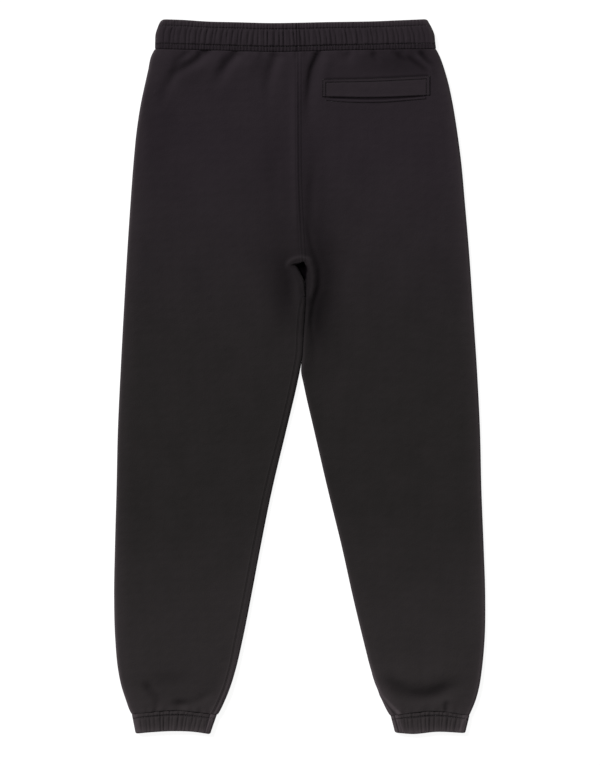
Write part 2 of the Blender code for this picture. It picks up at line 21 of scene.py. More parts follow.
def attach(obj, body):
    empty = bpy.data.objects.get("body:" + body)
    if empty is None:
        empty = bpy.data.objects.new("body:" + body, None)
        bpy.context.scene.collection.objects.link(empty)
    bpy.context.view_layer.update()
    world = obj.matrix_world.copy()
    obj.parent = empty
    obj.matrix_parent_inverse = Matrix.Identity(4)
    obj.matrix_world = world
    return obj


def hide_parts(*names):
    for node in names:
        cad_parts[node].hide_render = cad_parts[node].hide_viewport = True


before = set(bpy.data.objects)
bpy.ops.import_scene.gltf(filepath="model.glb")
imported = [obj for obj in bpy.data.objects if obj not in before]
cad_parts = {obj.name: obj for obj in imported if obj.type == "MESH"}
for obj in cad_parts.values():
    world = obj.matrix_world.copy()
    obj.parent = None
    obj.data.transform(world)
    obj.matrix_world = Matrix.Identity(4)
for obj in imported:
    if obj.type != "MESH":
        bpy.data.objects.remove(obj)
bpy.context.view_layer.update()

LOG = logging.getLogger("joggers")
Array = np.ndarray
MM = 0.001
LENGTH = 1000.0
WALL = 2.8
LEAST_TOP = 6.1
PANEL_TOP = 42.0
PANEL_END = 972.0
PIT_TOP = 338.8
PIT_END = 384.0
FOOT = 3.25
BACK_LAG = 3.0
RIM_LANES = 10
RIM_POINTS = 60
ARC_POINTS = 44
TOP_POINTS = 360
SEAM_POINTS = 30
RIM_END = 0.4
SEAM_SURFACES = 860.0
EDGE_INNER_START = 440.0
OUTSEAM_ANGLE = math.radians(-18.0)
EDGE_BLEND = 24.0
SEAM_FADE = 60.0
SEAM_RAMP = 14.0
NEEDLE_ROW = 4.2
INSEAM_ROW = 1.9
CENTRE_ROW_SPAN = (46.0, 332.0)
ROOT = "root"


class Side(Enum):
    """A leg, by the wearer's side; the value is the sign of its X."""

    LEFT = -1.0
    RIGHT = 1.0

    @property
    def word(self) -> str:
        """The side's name in node names."""
        return self.name.lower()


class Layer(Enum):
    """Which of a leg's two panels a piece is."""

    BACK = "back"
    FRONT = "front"


@dataclass(frozen=True)
class Table:
    """Stations with named columns, the first of which is the place they are given at."""

    columns: tuple[str, ...]
    rows: tuple[tuple[float, ...], ...]

    def line(self, name: str) -> "Line":
        """Return the smooth line through one column."""
        at = self.columns.index(name)
        return Line(tuple(row[0] for row in self.rows), tuple(row[at] for row in self.rows))

    def read(self, name: str, where: Array | float) -> Array:
        """Return one column's value at places, straight between the stations."""
        at = self.columns.index(name)
        return np.interp(where, [row[0] for row in self.rows], [row[at] for row in self.rows])


@dataclass(frozen=True)
class Line:
    """A smooth line through values at rising knots, held level past both ends."""

    knots: tuple[float, ...]
    values: tuple[float, ...]

    @cached_property
    def slopes(self) -> Array:
        """The line's slope at each knot.

        Returns:
            The slopes: one for all knots where there are only two.
        """
        if len(self.knots) > 2:
            return np.gradient(np.array(self.values), np.array(self.knots))
        rise = (self.values[-1] - self.values[0]) / (self.knots[-1] - self.knots[0])
        return np.full(len(self.knots), rise)

    def __call__(self, where: Array | float) -> Array:
        """Return the line's value.

        Args:
            where: One place or many along the knots.

        Returns:
            The values there.
        """
        knots, values = np.array(self.knots), np.array(self.values)
        where = np.clip(np.asarray(where, dtype=float), knots[0], knots[-1])
        index = np.clip(np.searchsorted(knots, where, side="right") - 1, 0, len(knots) - 2)
        span = knots[index + 1] - knots[index]
        t = (where - knots[index]) / span
        rise, fall = self.slopes[index] * span, self.slopes[index + 1] * span
        return (
            values[index] * (1 + 2 * t) * (1 - t) ** 2
            + rise * t * (1 - t) ** 2
            + values[index + 1] * t**2 * (3 - 2 * t)
            - fall * t**2 * (1 - t)
        )


OUTLINE = Table(
    ("drop", "left", "right"),
    (
        (42, 203.7, 190.8), (50.4, 208, 195.2), (70, 212.5, 202.5), (91, 217.3, 208.5), (112, 221.9, 213),
        (154, 228.6, 220), (196, 232.8, 225.6), (259, 237.6, 231.4), (322, 241.8, 236.8), (406, 246.7, 242.5),
        (490, 251.2, 248.1), (574, 255.1, 252.3), (658, 257, 254.3), (742, 259.3, 257.6), (805, 260.4, 259.6),
        (868, 258.7, 258.7), (910, 254.7, 254.8), (931, 250.5, 251.6), (952, 243.9, 246),
        (968.8, 237.7, 238.9), (975, 234.3, 235.9),
    ),
)
INNER_FOLD = Table(
    ("drop", "left", "right"),
    (
        (339.1, 3.6, 5.2), (340.2, 0.4, 5.6), (341.4, -3, 6), (342.8, -4.2, 6.4), (345.4, -2.6, 7),
        (348.4, -0.6, 7.2), (351.2, 1, 7.1), (355, 2.6, 7), (358.8, 3.8, 7), (364, 6, 7.1), (369.6, 7.4, 7.2),
        (375, 7.9, 7.3), (380.8, 8.4, 7.3), (386, 9.3, 7.1), (414.4, 8.2, 6.5), (438.2, 6.2, 4.8),
        (473.2, 3.7, 2.9), (483, 1.7, 1.9), (490, 0.3, 1.5), (511, -4.1, 5.3), (574, -19, 19.6),
        (658, -39, 39.1), (742, -55.9, 59.6), (805, -67.8, 73.5), (868, -80.3, 88.6), (910, -90.1, 99.4),
        (931, -96.4, 106.1), (952, -104.6, 114.9), (968.8, -112.7, 123.7), (975, -116.5, 127.9),
    ),
)
# Where each inseam's stitched rows start.
INSEAM_STARTS = {Side.LEFT: 392.0, Side.RIGHT: 946.0}

# From where the inseam is drawn in hard above each cuff.
ANKLE_SEAM = {Side.LEFT: 925.0, Side.RIGHT: 942.0}

# How wide each leg's rim slopes down into the pit at the fork, and how much of it gets painted shade.
RIM_SLOPE = Table(
    ("drop", "left", "right", "left_dark", "right_dark"),
    (
        (338.8, 1.6, 1.6, 0.8, 1), (341, 6, 3.6, 1.6, 1.6), (345, 11, 5.6, 3.4, 3.8), (350, 11.5, 6.4, 5, 5),
        (356, 7.6, 7, 2.8, 3.4), (362, 4.4, 7.4, 1.4, 3.8), (368, 3.2, 6.6, 0.8, 4.4), (376, 3, 5, 0.7, 3.6),
        (387, 3, 4, 0.7, 2.2),
    ),
)
CONTACT = Table(("drop", "x"), ((380, 7.8), (388, 8.3), (414.4, 7.3), (438.2, 5.5), (473.2, 3.3), (483, 1.8)))
CENTRE_SEAM = Table(("drop", "x"), ((42, -1.8), (150, -1.6), (224, -1), (302, 2.4), (336, 4.3), (369, 6.4)))
INSEAM = Table(
    ("drop", "left", "right"),
    (
        (384, 8.2, -1.5), (396, 10.6, -1.5), (412, 11.4, -1.5), (440, 10.8, -1.5), (480, 10, -1.5),
        (532, 9.2, -1.5), (588, 9.3, -1.5), (640, 10.4, -1.5), (700, 10.8, -1.5), (760, 10.8, -1.5),
        (826, 11, -1.5), (868, 11.4, -1.5), (900, 10.5, -1.5), (930, 10.4, -1.5), (942, 10.8, 1.5),
        (948, 11, 4.5), (954.8, 10.9, 7), (960.4, 10.8, 8.5), (966, 10.7, 10.2), (975, 10.6, 11.2),
    ),
)
HEIGHT = Table(
    ("drop", "side", "middle", "inner"),
    (
        (42, 10, 10.4, 10.4), (58, 10.6, 11.4, 11.2), (80, 10, 11, 11), (120, 8.8, 9.8, 10.2),
        (200, 8, 8.4, 9.2), (290, 7.6, 7.8, 10.2), (336, 7.4, 7.6, 11.6), (369, 7.4, 7.4, 12),
        (400, 7.2, 7.2, 10.6), (440, 7.2, 7, 8.8), (500, 7.2, 6.9, 7.6), (700, 7.2, 6.8, 7.2),
        (860, 7.6, 7.4, 7.6), (900, 8.6, 9.6, 8.8), (925, 9.4, 11.2, 9.6), (944, 9.8, 11.8, 10),
        (960, 9.4, 11.2, 9.6), (975, 8.6, 9.4, 8.8),
    ),
)
WAIST_SEAM = Table(("x", "drop"), ((-203, 41.2), (-120, 43), (-38, 45.2), (60, 43), (120, 41.9), (191, 41)))
WAIST_TOP = Table(
    ("x", "drop"),
    (
        (-193, -0.6), (-168, 0.1), (-128, 2.6), (-90, 3.5), (-38, 4.7), (0, 4.2), (40, 3.3), (70, 2.9),
        (100, 2.4), (140, 0.8), (180, -0.9),
    ),
)
CUFF_SEAM = {
    Side.LEFT: Table(("x", "drop"), ((-234, 971.4), (-175, 966.2), (-116, 972))),
    Side.RIGHT: Table(("x", "drop"), ((128, 973.6), (191, 967.2), (236, 973.2))),
}
CUFF_HEM = {
    Side.LEFT: Table(
        ("x", "drop"), ((-230, 998.9), (-203, 996.6), (-176, 995.4), (-148, 996.5), (-126, 999.7)),
    ),
    Side.RIGHT: Table(("x", "drop"), ((134, 997.6), (158, 999.4), (191, 996.4), (230, 998))),
}
# Where the waistband ends on each side, down its depth, and each cuff's ends and joining seam.
WAIST_ENDS = Table(
    ("along", "left", "right"),
    (
        (0, -193, 178.4), (0.1, -196.2, 180.4), (0.25, -199, 183.8), (0.5, -202.2, 188.2),
        (0.75, -202.8, 189.4), (1, -203, 190.8),
    ),
)
CUFF_ENDS = {
    Side.LEFT: Table(
        ("along", "left", "right", "join"), ((0, -235.6, -116, -125.6), (1, -230.2, -125.6, -133.4)),
    ),
    Side.RIGHT: Table(("along", "left", "right", "join"), ((0, 126.8, 237.6, 131.7), (1, 133, 231.6, 138.7))),
}
# Shares of the waistband's depth at which it is stitched, and how far across its rows run.
WAIST_ROWS = (0.225, 0.825)
WAIST_ROW_SPAN = (-193.0, 180.0)

# How far below its seam a cuff is stitched, and how far from its ends the row stops.
CUFF_ROW = 6.2
CUFF_ROW_STOP = 4.0

# How far inside its outline the welt is stitched, where that outline runs and where its rows end.
WELT_ROWS = (0.3, 4.3)
WELT_SPAN = (32.2, 181.6)
WELT_FEET = (106.0, 104.0)
WELT_TOP_IN = 0.8

# How far below the lip's fold its stitched row lies, and how far across it runs.
LIP_ROW = 0.3
LIP_ROW_SPAN = (36.5, 175.5)
WELT = Table(("x", "upper", "lower"), ((32, 83.4, 108), (106, 81.8, 108.8), (182, 78.2, 105.8)))
LIP = Table(
    ("x", "upper", "lower"),
    ((36, 110.4, 113.4), (64, 111.8, 115.6), (107, 112.9, 116.2), (178, 108.2, 110.8)),
)


@dataclass(frozen=True)
class Shade:
    """A soft-edged patch of painted shade or, with a depth below zero, one that takes painted shade away."""

    x: float
    drop: float
    across: float
    down: float
    depth: float

    def at(self, x: Array, drop: Array) -> Array:
        """Return how dark the place is at each point, up to its depth."""
        away = ((x - self.x) / self.across) ** 2 + ((drop - self.drop) / self.down) ** 2
        return self.depth * np.exp(-away)


# Patches of painted shade over the legs, and one below zero that takes it away beside the fork.
SHADES = (
    Shade(-22, 370, 21, 54, 0.4), Shade(26, 372, 28, 85, 0.48), Shade(22, 418, 10, 48, 0.2),
    Shade(-1, 376, 8, 40, -0.2), Shade(-26, 250, 34, 120, 0.14), Shade(14, 300, 9, 90, 0.08),
    Shade(23, 225, 15, 70, 0.11), Shade(-197, 160, 24, 70, 0.16), Shade(160, 46, 60, 22, 0.26),
    Shade(128, 62, 34, 15, 0.2), Shade(-156, 72, 24, 19, 0.15), Shade(-180, 922, 45, 18, 0.12),
)

# Painted light down the garment: least about the knee, most at the cuffs.
PAINTED_LIGHT_DOWN = Table(
    ("drop", "share"),
    (
        (0, 0.06), (38, 0.045), (50, 0.02), (300, 0.02), (420, 0.018), (560, 0.01), (690, 0.01), (760, 0.058),
        (800, 0.092), (930, 0.122), (958, 0.2), (966, 0.24), (974, 0.24), (981, 0.27), (988, 0.33),
        (993, 0.38), (996, 0.49), (1000, 0.6),
    ),
)


# Painted highlight along the folded edges, down the garment: close to each fold, then for a
# hand's breadth beside it.
EDGE_HIGHLIGHT = Table(
    ("drop", "left_outer", "right_outer", "left_inner", "right_inner"),
    (
        (42, 0.36, 0.5, 0, 0), (440, 0.3, 0.45, 0, 0.1), (490, 0.3, 0.45, 0.05, 0.2),
        (616, 0.3, 0.5, 0.12, 0.3), (784, 0.38, 0.65, 0.22, 0.33), (868, 0.52, 0.85, 0.35, 0.38),
        (900, 0.5, 0.95, 0.6, 0.45), (926, 0.5, 1, 0.9, 0.75), (944, 0.52, 1.1, 1.1, 1.1),
        (972, 0.55, 1.1, 1.2, 1.1),
    ),
)
EDGE_GLOW = Table(
    ("drop", "left_outer", "right_outer", "left_inner", "right_inner"),
    (
        (42, 0.15, 0.14, 0, 0), (440, 0.14, 0.12, 0.04, -0.04), (490, 0.14, 0.12, 0.02, -0.06),
        (616, 0.14, 0.12, 0.03, 0), (784, 0.16, 0.12, 0.06, 0.04), (868, 0.17, 0.1, 0.1, 0.09),
        (900, 0.14, 0.09, 0.2, 0.1), (926, 0.12, 0.08, 0.28, 0.22), (944, 0.12, 0.08, 0.34, 0.36),
        (972, 0.12, 0.08, 0.4, 0.4),
    ),
)


# How much of the hips' plum cast the black dye still shows, down the garment.
CAST = Table(("drop", "share"), ((0, 1), (180, 1), (300, 0.62), (440, 0.14), (560, 0), (1000, 0)))


def straight(table: Table) -> Callable[[Array], Array]:
    """Return the straight line between the ends of a seam's table: the seam as it runs underneath."""
    (x0, drop0), (x1, drop1) = table.rows[0], table.rows[-1]
    return lambda x: drop0 + (x - x0) / (x1 - x0) * (drop1 - drop0)


def smooth(share: Array) -> Array:
    """Return an even ramp from 0 to 1 for shares from 0 to 1."""
    share = np.clip(share, 0.0, 1.0)
    return share * share * (3.0 - 2.0 * share)


def bell(away: Array | float, width: float) -> Array:
    """Return a bell curve's height at distances from its middle: 1 there, and 1/e a width away."""
    return np.exp(-((away / width) ** 2))


def rounded(share: Array) -> Array:
    """Return the height of a rounded edge, from 0 at the edge to 1 where it is level."""
    return np.sqrt(1.0 - (1.0 - np.clip(share, 0.0, 1.0)) ** 2)


def ramp(station: float, start: float, length: float) -> float:
    """Return an even ramp from 0 to 1 down a length that starts at a drop."""
    return float(smooth(np.array((station - start) / length)))


@dataclass(frozen=True)
class Fold:
    """A crease or ridge in a back panel.

    A held fold starts at a seam and dies away; a free one fades at both ends, over a share of its
    length. Where it is dark, painted shade lies along it; below zero, it takes painted shade away.
    """

    route: tuple[tuple[float, float], ...]
    reach: float
    lift: float
    held: bool = False
    fade: float = 0.42
    dark: float = 0.0

    @cached_property
    def path(self) -> Array:
        """The fold's line, with the corners of its route rounded off.

        Returns:
            Its (x, drop) points.
        """
        route = np.array(self.route)
        knots = np.append(0.0, np.cumsum(np.hypot(*np.diff(route, axis=0).T)))
        fine = np.linspace(0.0, knots[-1], 4 * (len(route) - 1) + 1)
        return np.column_stack([Line(tuple(knots), tuple(column))(fine) for column in route.T])

    def share_at(self, x: Array, drop: Array) -> Array:
        """Return how strong the fold is at each point.

        Args:
            x: Points across the garment.
            drop: The same points' drops.

        Returns:
            Shares from 0, away from the fold, to 1 on its line.
        """
        x, drop = np.broadcast_arrays(np.asarray(x, dtype=float), np.asarray(drop, dtype=float))
        low, high = self.path.min(axis=0) - 3.0 * self.reach, self.path.max(axis=0) + 3.0 * self.reach
        near = (x > low[0]) & (x < high[0]) & (drop > low[1]) & (drop < high[1])
        share = np.zeros(x.shape)
        if not near.any():
            return share
        starts, runs = self.path[:-1], np.diff(self.path, axis=0)
        lengths = np.hypot(*runs.T)
        from_start = np.column_stack((x[near], drop[near]))[:, None] - starts
        t = np.clip((from_start * runs).sum(axis=2) / lengths**2, 0.0, 1.0)
        away = np.hypot(*(from_start - t[:, :, None] * runs).transpose(2, 0, 1))
        rows, nearest = np.arange(len(away)), away.argmin(axis=1)
        walked = np.append(0.0, np.cumsum(lengths))[nearest] + t[rows, nearest] * lengths[nearest]
        along = walked / lengths.sum()
        if self.held:
            fade = smooth(1.2 * (1.0 - along)) * (0.3 + 0.7 * smooth(walked / 9.0))
        else:
            fade = smooth(np.minimum(along, 1.0 - along) / self.fade)
        share[near] = fade * bell(away[rows, nearest], self.reach)
        return share


HIP_FOLDS = (
    Fold(((-126, 42), (-144, 58), (-172, 74), (-198, 136)), 7.5, -4.8, True),
    Fold(((-154, 44), (-172, 61.6), (-182.5, 86)), 6, -3.4, True),
    Fold(((-84, 44), (-104, 68), (-120, 104)), 8, -4.6, True),
    Fold(((-31, 45), (-41, 77), (-44, 128)), 8, -3.6, True), Fold(((-60, 44), (-78, 92)), 9, 1.6, True),
    Fold(((-160, 44), (-192, 96)), 8, 1.4, True), Fold(((-106, 44), (-131, 88)), 7, 1.3, True),
    Fold(((27, 42), (15, 92.4), (12.5, 124.6), (19, 192)), 7.5, -2.8, True, dark=0.14),
    Fold(
        ((29, 43), (23, 54), (17.5, 66), (14.4, 80), (12.8, 94), (11, 112), (10, 134)), 3.6, -2.4, True,
        dark=0.26,
    ),
    Fold(((18.5, 182), (17.5, 224), (15.5, 262), (20, 316)), 7.5, -1.7, fade=0.4),
    Fold(((43, 42), (31, 92), (27, 150)), 8, 0.9, True),
    Fold(((101.5, 42), (106.5, 54), (113, 64)), 4.2, -3.4, True, dark=0.26),
    Fold(((84, 42), (88, 72)), 9, 1.2, True), Fold(((66, 43), (70, 66)), 6, -2.2, True),
    Fold(((133, 43), (140, 52), (147.5, 58), (158, 66)), 3.6, -2.6, True, dark=0.28),
    Fold(((146, 48), (157, 57), (166, 64), (184, 78)), 3, -1.4, fade=0.3, dark=0.26),
    Fold(((158, 46), (173, 60), (182, 68), (190, 82)), 3.2, 1, fade=0.3, dark=-0.3),
    Fold(((166, 42), (177, 56.5), (187, 67.5), (195, 86)), 3.4, -2.6, True, dark=0.34),
    Fold(((-35, 176), (-35, 284)), 13, -1), Fold(((-210, 90), (-203, 180)), 12, -1.6),
)
FORK_FOLDS = (
    Fold(((-6.3, 42), (-5.8, 200), (-2.3, 332)), 5.8, 2.2, fade=0.28),
    Fold(
        (
            (9, 270), (14.5, 304), (18, 318), (23.5, 334), (27.3, 346), (28.2, 360), (27.8, 372), (25, 382),
            (21.6, 392), (18.8, 406), (17.2, 420), (18, 441), (20.4, 462),
        ),
        3.9, -1.55, fade=0.2,
    ),
    Fold(((20, 424), (21, 462), (22, 500)), 7, -1.2),
    Fold(((0, 408), (-1.5, 384), (-4, 370), (-8, 356), (-10, 344), (-6, 334)), 4.6, 1.6),
    Fold(
        ((6, 331), (11, 336), (16, 346), (18, 357), (17.6, 372), (16, 384), (13.5, 396)), 4.4, 1.2, fade=0.2,
        dark=-0.42,
    ),
    Fold(((14.5, 392), (12, 406), (10, 420), (10, 440)), 4, 0.7),
    Fold(
        ((-19, 353), (-16, 340.2), (-6, 334.6), (5, 333.6), (13, 336), (19, 348)), 3, 1.35, fade=0.25,
        dark=-0.45,
    ),
    Fold(((-14, 322), (-18, 344), (-14, 372), (-10, 406)), 6, -1.2),
)
ANKLE_FOLDS = (
    Fold(
        (
            (108, 912), (121.5, 923.5), (134, 933.5), (151, 943), (169, 946), (186, 944.5), (203, 938),
            (222, 929), (234, 922),
        ),
        10.4, -5.3, fade=0.34, dark=0.31,
    ),
    Fold(((130, 900), (170, 922), (214, 910)), 14, 1.6), Fold(((206, 950), (204, 974)), 4.5, -2, dark=0.15),
    Fold(((-219, 922), (-214, 932), (-207.5, 941), (-200, 951), (-195, 968)), 5.6, -2.4, fade=0.3, dark=0.2),
    Fold(((-214, 919), (-184, 926), (-148, 922)), 9, -1.2),
    Fold(((-184, 954), (-168, 957.5), (-148, 956)), 6, -2.6, fade=0.5, dark=0.22),
    Fold(((-164, 956), (-148, 955), (-132, 947), (-118, 936)), 7, -1.5),
)

# The slit of the pocket's mouth presses the panel in between the welt and the lip, with painted shade in it.
POCKET_MOUTH = Fold(((34, 109.8), (107, 111.3), (180, 107.8)), 2.1, -0.8, fade=0.1, dark=0.32)

# Above the welt, a darker line runs along its seam.
POCKET_TOP = Fold(((33, 82.8), (106, 81.2), (181, 77.6)), 1.3, 0, fade=0.03, dark=0.4)
FOLDS = HIP_FOLDS + FORK_FOLDS + ANKLE_FOLDS + (POCKET_MOUTH, POCKET_TOP)


# ---- Finishes ----


def to_linear(colour: str) -> tuple[float, float, float, float]:
    """Return a colour's linear values.

    Args:
        colour: An sRGB hex colour such as "#2a2628".

    Returns:
        Red, green, blue and alpha.
    """
    parts = [int(colour[i : i + 2], 16) / 255 for i in (1, 3, 5)]
    linear = [p / 12.92 if p <= 0.04045 else ((p + 0.055) / 1.055) ** 2.4 for p in parts]
    return (linear[0], linear[1], linear[2], 1.0)


def add_node(
    tree: bpy.types.NodeTree, kind: str, settings: dict | None = None, inputs: dict | None = None,
    name: str = "",
) -> bpy.types.Node:
    """Add a node with its settings, input values and links.

    Args:
        tree: The node tree that gets the node.
        kind: The node's type name.
        settings: Properties of the node.
        inputs: Input values, or output sockets to link from, by input name or number.
        name: The node's name and label.

    Returns:
        The new node.
    """
    node = tree.nodes.new(kind)
    if name:
        node.name = node.label = name
    for key, value in (settings or {}).items():
        setattr(node, key, value)
    for key, value in (inputs or {}).items():
        if isinstance(value, bpy.types.NodeSocket):
            tree.links.new(value, node.inputs[key])
        else:
            node.inputs[key].default_value = value
    return node


def blank_material(name: str) -> tuple[bpy.types.Material, bpy.types.NodeTree]:
    """Make an empty material.

    Args:
        name: The material's name.

    Returns:
        The material and its node tree, emptied.
    """
    material = bpy.data.materials.new(name)
    material.use_nodes = True
    material.node_tree.nodes.clear()
    return material, material.node_tree


def new_object(name: str, data: bpy.types.ID) -> bpy.types.Object:
    """Make an object and link it to the scene.

    Args:
        name: The object's name.
        data: Its mesh, light or camera.

    Returns:
        The object.
    """
    made = bpy.data.objects.new(name, data)
    bpy.context.scene.collection.objects.link(made)
    return made


@dataclass(frozen=True)
class FleeceFinish:
    """Brushed-back cotton fleece, its smooth jersey face out: matt, near black, faintly mottled.

    The jersey's wales and courses, under 1 mm wide, are too fine to show at the garment's scale, so
    they are drawn 18 and 14 mm wide and much distorted, as the soft unevenness that they give.
    """

    name: str
    dark: str = "#0d0c0b"
    plum: str = "#110c11"
    light: str = "#302b2d"
    pressed_and_shaded: str = "#040304"
    grain_turn: float = 0.0
    wale: float = 18.22
    course: float = 14.45
    mottle: float = 38.0
    lint: float = 2.2
    roughness: tuple[float, float] = (0.86, 0.97)
    mottle_share: float = 0.13
    lint_share: float = 0.1
    lint_relief: float = 2.2
    knit_height: float = 0.35
    sheen: float = 0.4
    sheen_tint: str = "#b9b0b4"
    gloss: float = 0.08

    def make(self) -> bpy.types.Material:
        """Build the material.

        Returns:
            The material, which reads Object coordinates and the mesh's "painted_light" (painted light and
            highlights), "cast" and "press_and_shade" (pressed seams and painted shade).
        """
        material, tree = blank_material(self.name)
        painted_light, cast, press_and_shade = [
            add_node(tree, "ShaderNodeAttribute", {"attribute_name": name}).outputs["Fac"]
            for name in ("painted_light", "cast", "press_and_shade")
        ]
        place = add_node(tree, "ShaderNodeTexCoord").outputs["Object"]
        turned = {"Vector": place, "Rotation": (0.0, 0.0, self.grain_turn)}
        grain = add_node(tree, "ShaderNodeMapping", inputs=turned).outputs["Vector"]
        patterns = []
        for name, size, detail, roughness in (
            ("worn and washed mottling", self.mottle, 4.0, 0.62),
            ("lint and fibre ends", self.lint, 3.0, 0.7),
        ):
            inputs = {"Vector": grain, "Scale": 1000.0 / size, "Detail": detail, "Roughness": roughness}
            patterns.append(add_node(tree, "ShaderNodeTexNoise", inputs=inputs, name=name).outputs["Fac"])
        for name, axis, size, detail_scale in (
            ("jersey wales", "X", self.wale, 1.7), ("jersey courses", "Y", self.course, 1.4),
        ):
            bands = {"wave_type": "BANDS", "bands_direction": axis, "wave_profile": "SIN"}
            inputs = {
                "Vector": grain, "Scale": math.pi / 10 / (size * MM), "Distortion": 4.0, "Detail": 2.0,
                "Detail Scale": detail_scale,
            }
            patterns.append(add_node(tree, "ShaderNodeTexWave", bands, inputs, name).outputs["Fac"])
        mottle, lint, wales, courses = patterns
        add = {"operation": "MULTIPLY_ADD"}
        add_clamped = {**add, "use_clamp": True}
        tone = add_node(tree, "ShaderNodeMath", add, {0: mottle, 1: self.mottle_share, 2: painted_light}).outputs[0]
        pale = {0: lint, 1: self.lint_share, 2: tone}
        colour = to_linear(self.dark)
        # The colour is mixed towards the hips' plum cast, towards the paler tone that the mottle, lint and
        # painted light call for, and towards the pressed colour at pressed seams and painted shade.
        for share, over in (
            (cast, self.plum), (add_node(tree, "ShaderNodeMath", add_clamped, pale).outputs[0], self.light),
            (press_and_shade, self.pressed_and_shaded),
        ):
            mixed = {"Factor": share, "A": colour, "B": to_linear(over)}
            colour = add_node(tree, "ShaderNodeMix", {"data_type": "RGBA"}, mixed).outputs["Result"]
        least, most = self.roughness
        rough = add_node(tree, "ShaderNodeMapRange", inputs={"Value": lint, "To Min": least, "To Max": most})
        knit = add_node(tree, "ShaderNodeMath", {"operation": "MULTIPLY"}, {0: wales, 1: courses}).outputs[0]
        relief = add_node(tree, "ShaderNodeMath", add, {0: lint, 1: self.lint_relief, 2: knit}).outputs[0]
        raised = {"Height": relief, "Strength": 0.5, "Distance": self.knit_height * MM}
        inputs = {
            "Base Color": colour, "Roughness": rough.outputs["Result"],
            "Normal": add_node(tree, "ShaderNodeBump", inputs=raised).outputs["Normal"],
            "Sheen Roughness": 0.3, "Sheen Tint": to_linear(self.sheen_tint),
        }
        # Where seams are pressed and shade is painted, the sheen and gloss are taken away too.
        for socket, whole, name in (
            ("Sheen Weight", self.sheen, "nap left standing"),
            ("Specular IOR Level", self.gloss, "gloss left on the fibres"),
        ):
            left = add_node(tree, "ShaderNodeMath", add_clamped, {0: press_and_shade, 1: -whole, 2: whole}, name)
            inputs[socket] = left.outputs[0]
        shader = add_node(tree, "ShaderNodeBsdfPrincipled", inputs=inputs)
        add_node(tree, "ShaderNodeOutputMaterial", inputs={"Surface": shader.outputs["BSDF"]})
        return material


@dataclass(frozen=True)
class ThreadFinish:
    """Spun polyester sewing thread, dyed black: a little glossier than the cloth it sinks into.

    Its plies turn seven times in 5 mm.
    """

    name: str = "spun_polyester_thread"
    turn: float = 5 / 7
    dark: str = "#191617"
    light: str = "#272325"

    def make(self) -> bpy.types.Material:
        """Build the material.

        Returns:
            The material, which reads Object coordinates.
        """
        material, tree = blank_material(self.name)
        place = add_node(tree, "ShaderNodeTexCoord").outputs["Object"]
        fine = {"Vector": place, "Scale": 1.0 / (self.turn * MM), "Detail": 2.0}
        twist = add_node(tree, "ShaderNodeTexNoise", inputs=fine, name="twist of the plies").outputs["Fac"]
        mixed = {"Factor": twist, "A": to_linear(self.dark), "B": to_linear(self.light)}
        raised = {"Height": twist, "Strength": 0.3, "Distance": 0.1 * MM}
        inputs = {
            "Base Color": add_node(tree, "ShaderNodeMix", {"data_type": "RGBA"}, mixed).outputs["Result"],
            "Roughness": 0.7, "Specular IOR Level": 0.3,
            "Normal": add_node(tree, "ShaderNodeBump", inputs=raised).outputs["Normal"],
        }
        shader = add_node(tree, "ShaderNodeBsdfPrincipled", inputs=inputs)
        add_node(tree, "ShaderNodeOutputMaterial", inputs={"Surface": shader.outputs["BSDF"]})
        return material


@dataclass(frozen=True)
class PanelFinish:
    """Opal acrylic light panel: matt white and lit from below, so that nothing on it casts a shadow."""

    name: str = "opal_acrylic_light_panel"
    colour: str = "#606060"
    glow: float = 0.9

    def make(self) -> bpy.types.Material:
        """Build the material.

        Returns:
            The material, one even tone.
        """
        material, tree = blank_material(self.name)
        inputs = {
            "Base Color": to_linear(self.colour), "Roughness": 0.95, "Specular IOR Level": 0.0,
            "Emission Color": (1.0, 1.0, 1.0, 1.0), "Emission Strength": self.glow,
        }
        shader = add_node(tree, "ShaderNodeBsdfPrincipled", inputs=inputs)
        add_node(tree, "ShaderNodeOutputMaterial", inputs={"Surface": shader.outputs["BSDF"]})
        return material


# ---- Mesh helpers ----


def wall_faces(rows: int, columns: int) -> list[list[int]]:
    """Return a closed wall's faces.

    Args:
        rows: Rows of the outer grid, whose points come first, and of the inner grid after it.
        columns: Columns of both grids.

    Returns:
        Faces of both grids and of the rim that joins them.
    """
    inner = rows * columns

    def at(row: int, column: int, base: int = 0) -> int:
        """Return a grid point's number."""
        return base + row * columns + column

    faces = []
    for row in range(rows - 1):
        for column in range(columns - 1):
            corners = ((row, column), (row, column + 1), (row + 1, column + 1), (row + 1, column))
            faces.append([at(*corner) for corner in corners])
            faces.append([at(*corner, inner) for corner in reversed(corners)])
    rim = [(0, column) for column in range(columns)]
    rim += [(row, columns - 1) for row in range(1, rows)]
    rim += [(rows - 1, column) for column in range(columns - 2, -1, -1)]
    rim += [(row, 0) for row in range(rows - 2, 0, -1)]
    for first, second in zip(rim, rim[1:] + rim[:1]):
        faces.append([at(*second), at(*first), at(*first, inner), at(*second, inner)])
    return faces


def tube_faces(rings: int, around: int) -> list[list[int]]:
    """Return the faces of a tube's wall whose last ring joins its first.

    Args:
        rings: How many rings of points the wall has.
        around: How many points each ring has.

    Returns:
        The faces.
    """
    faces = []
    for ring in range(rings):
        here, there = ring * around, (ring + 1) % rings * around
        for column in range(around):
            beside = (column + 1) % around
            faces.append([here + column, here + beside, there + beside, there + column])
    return faces


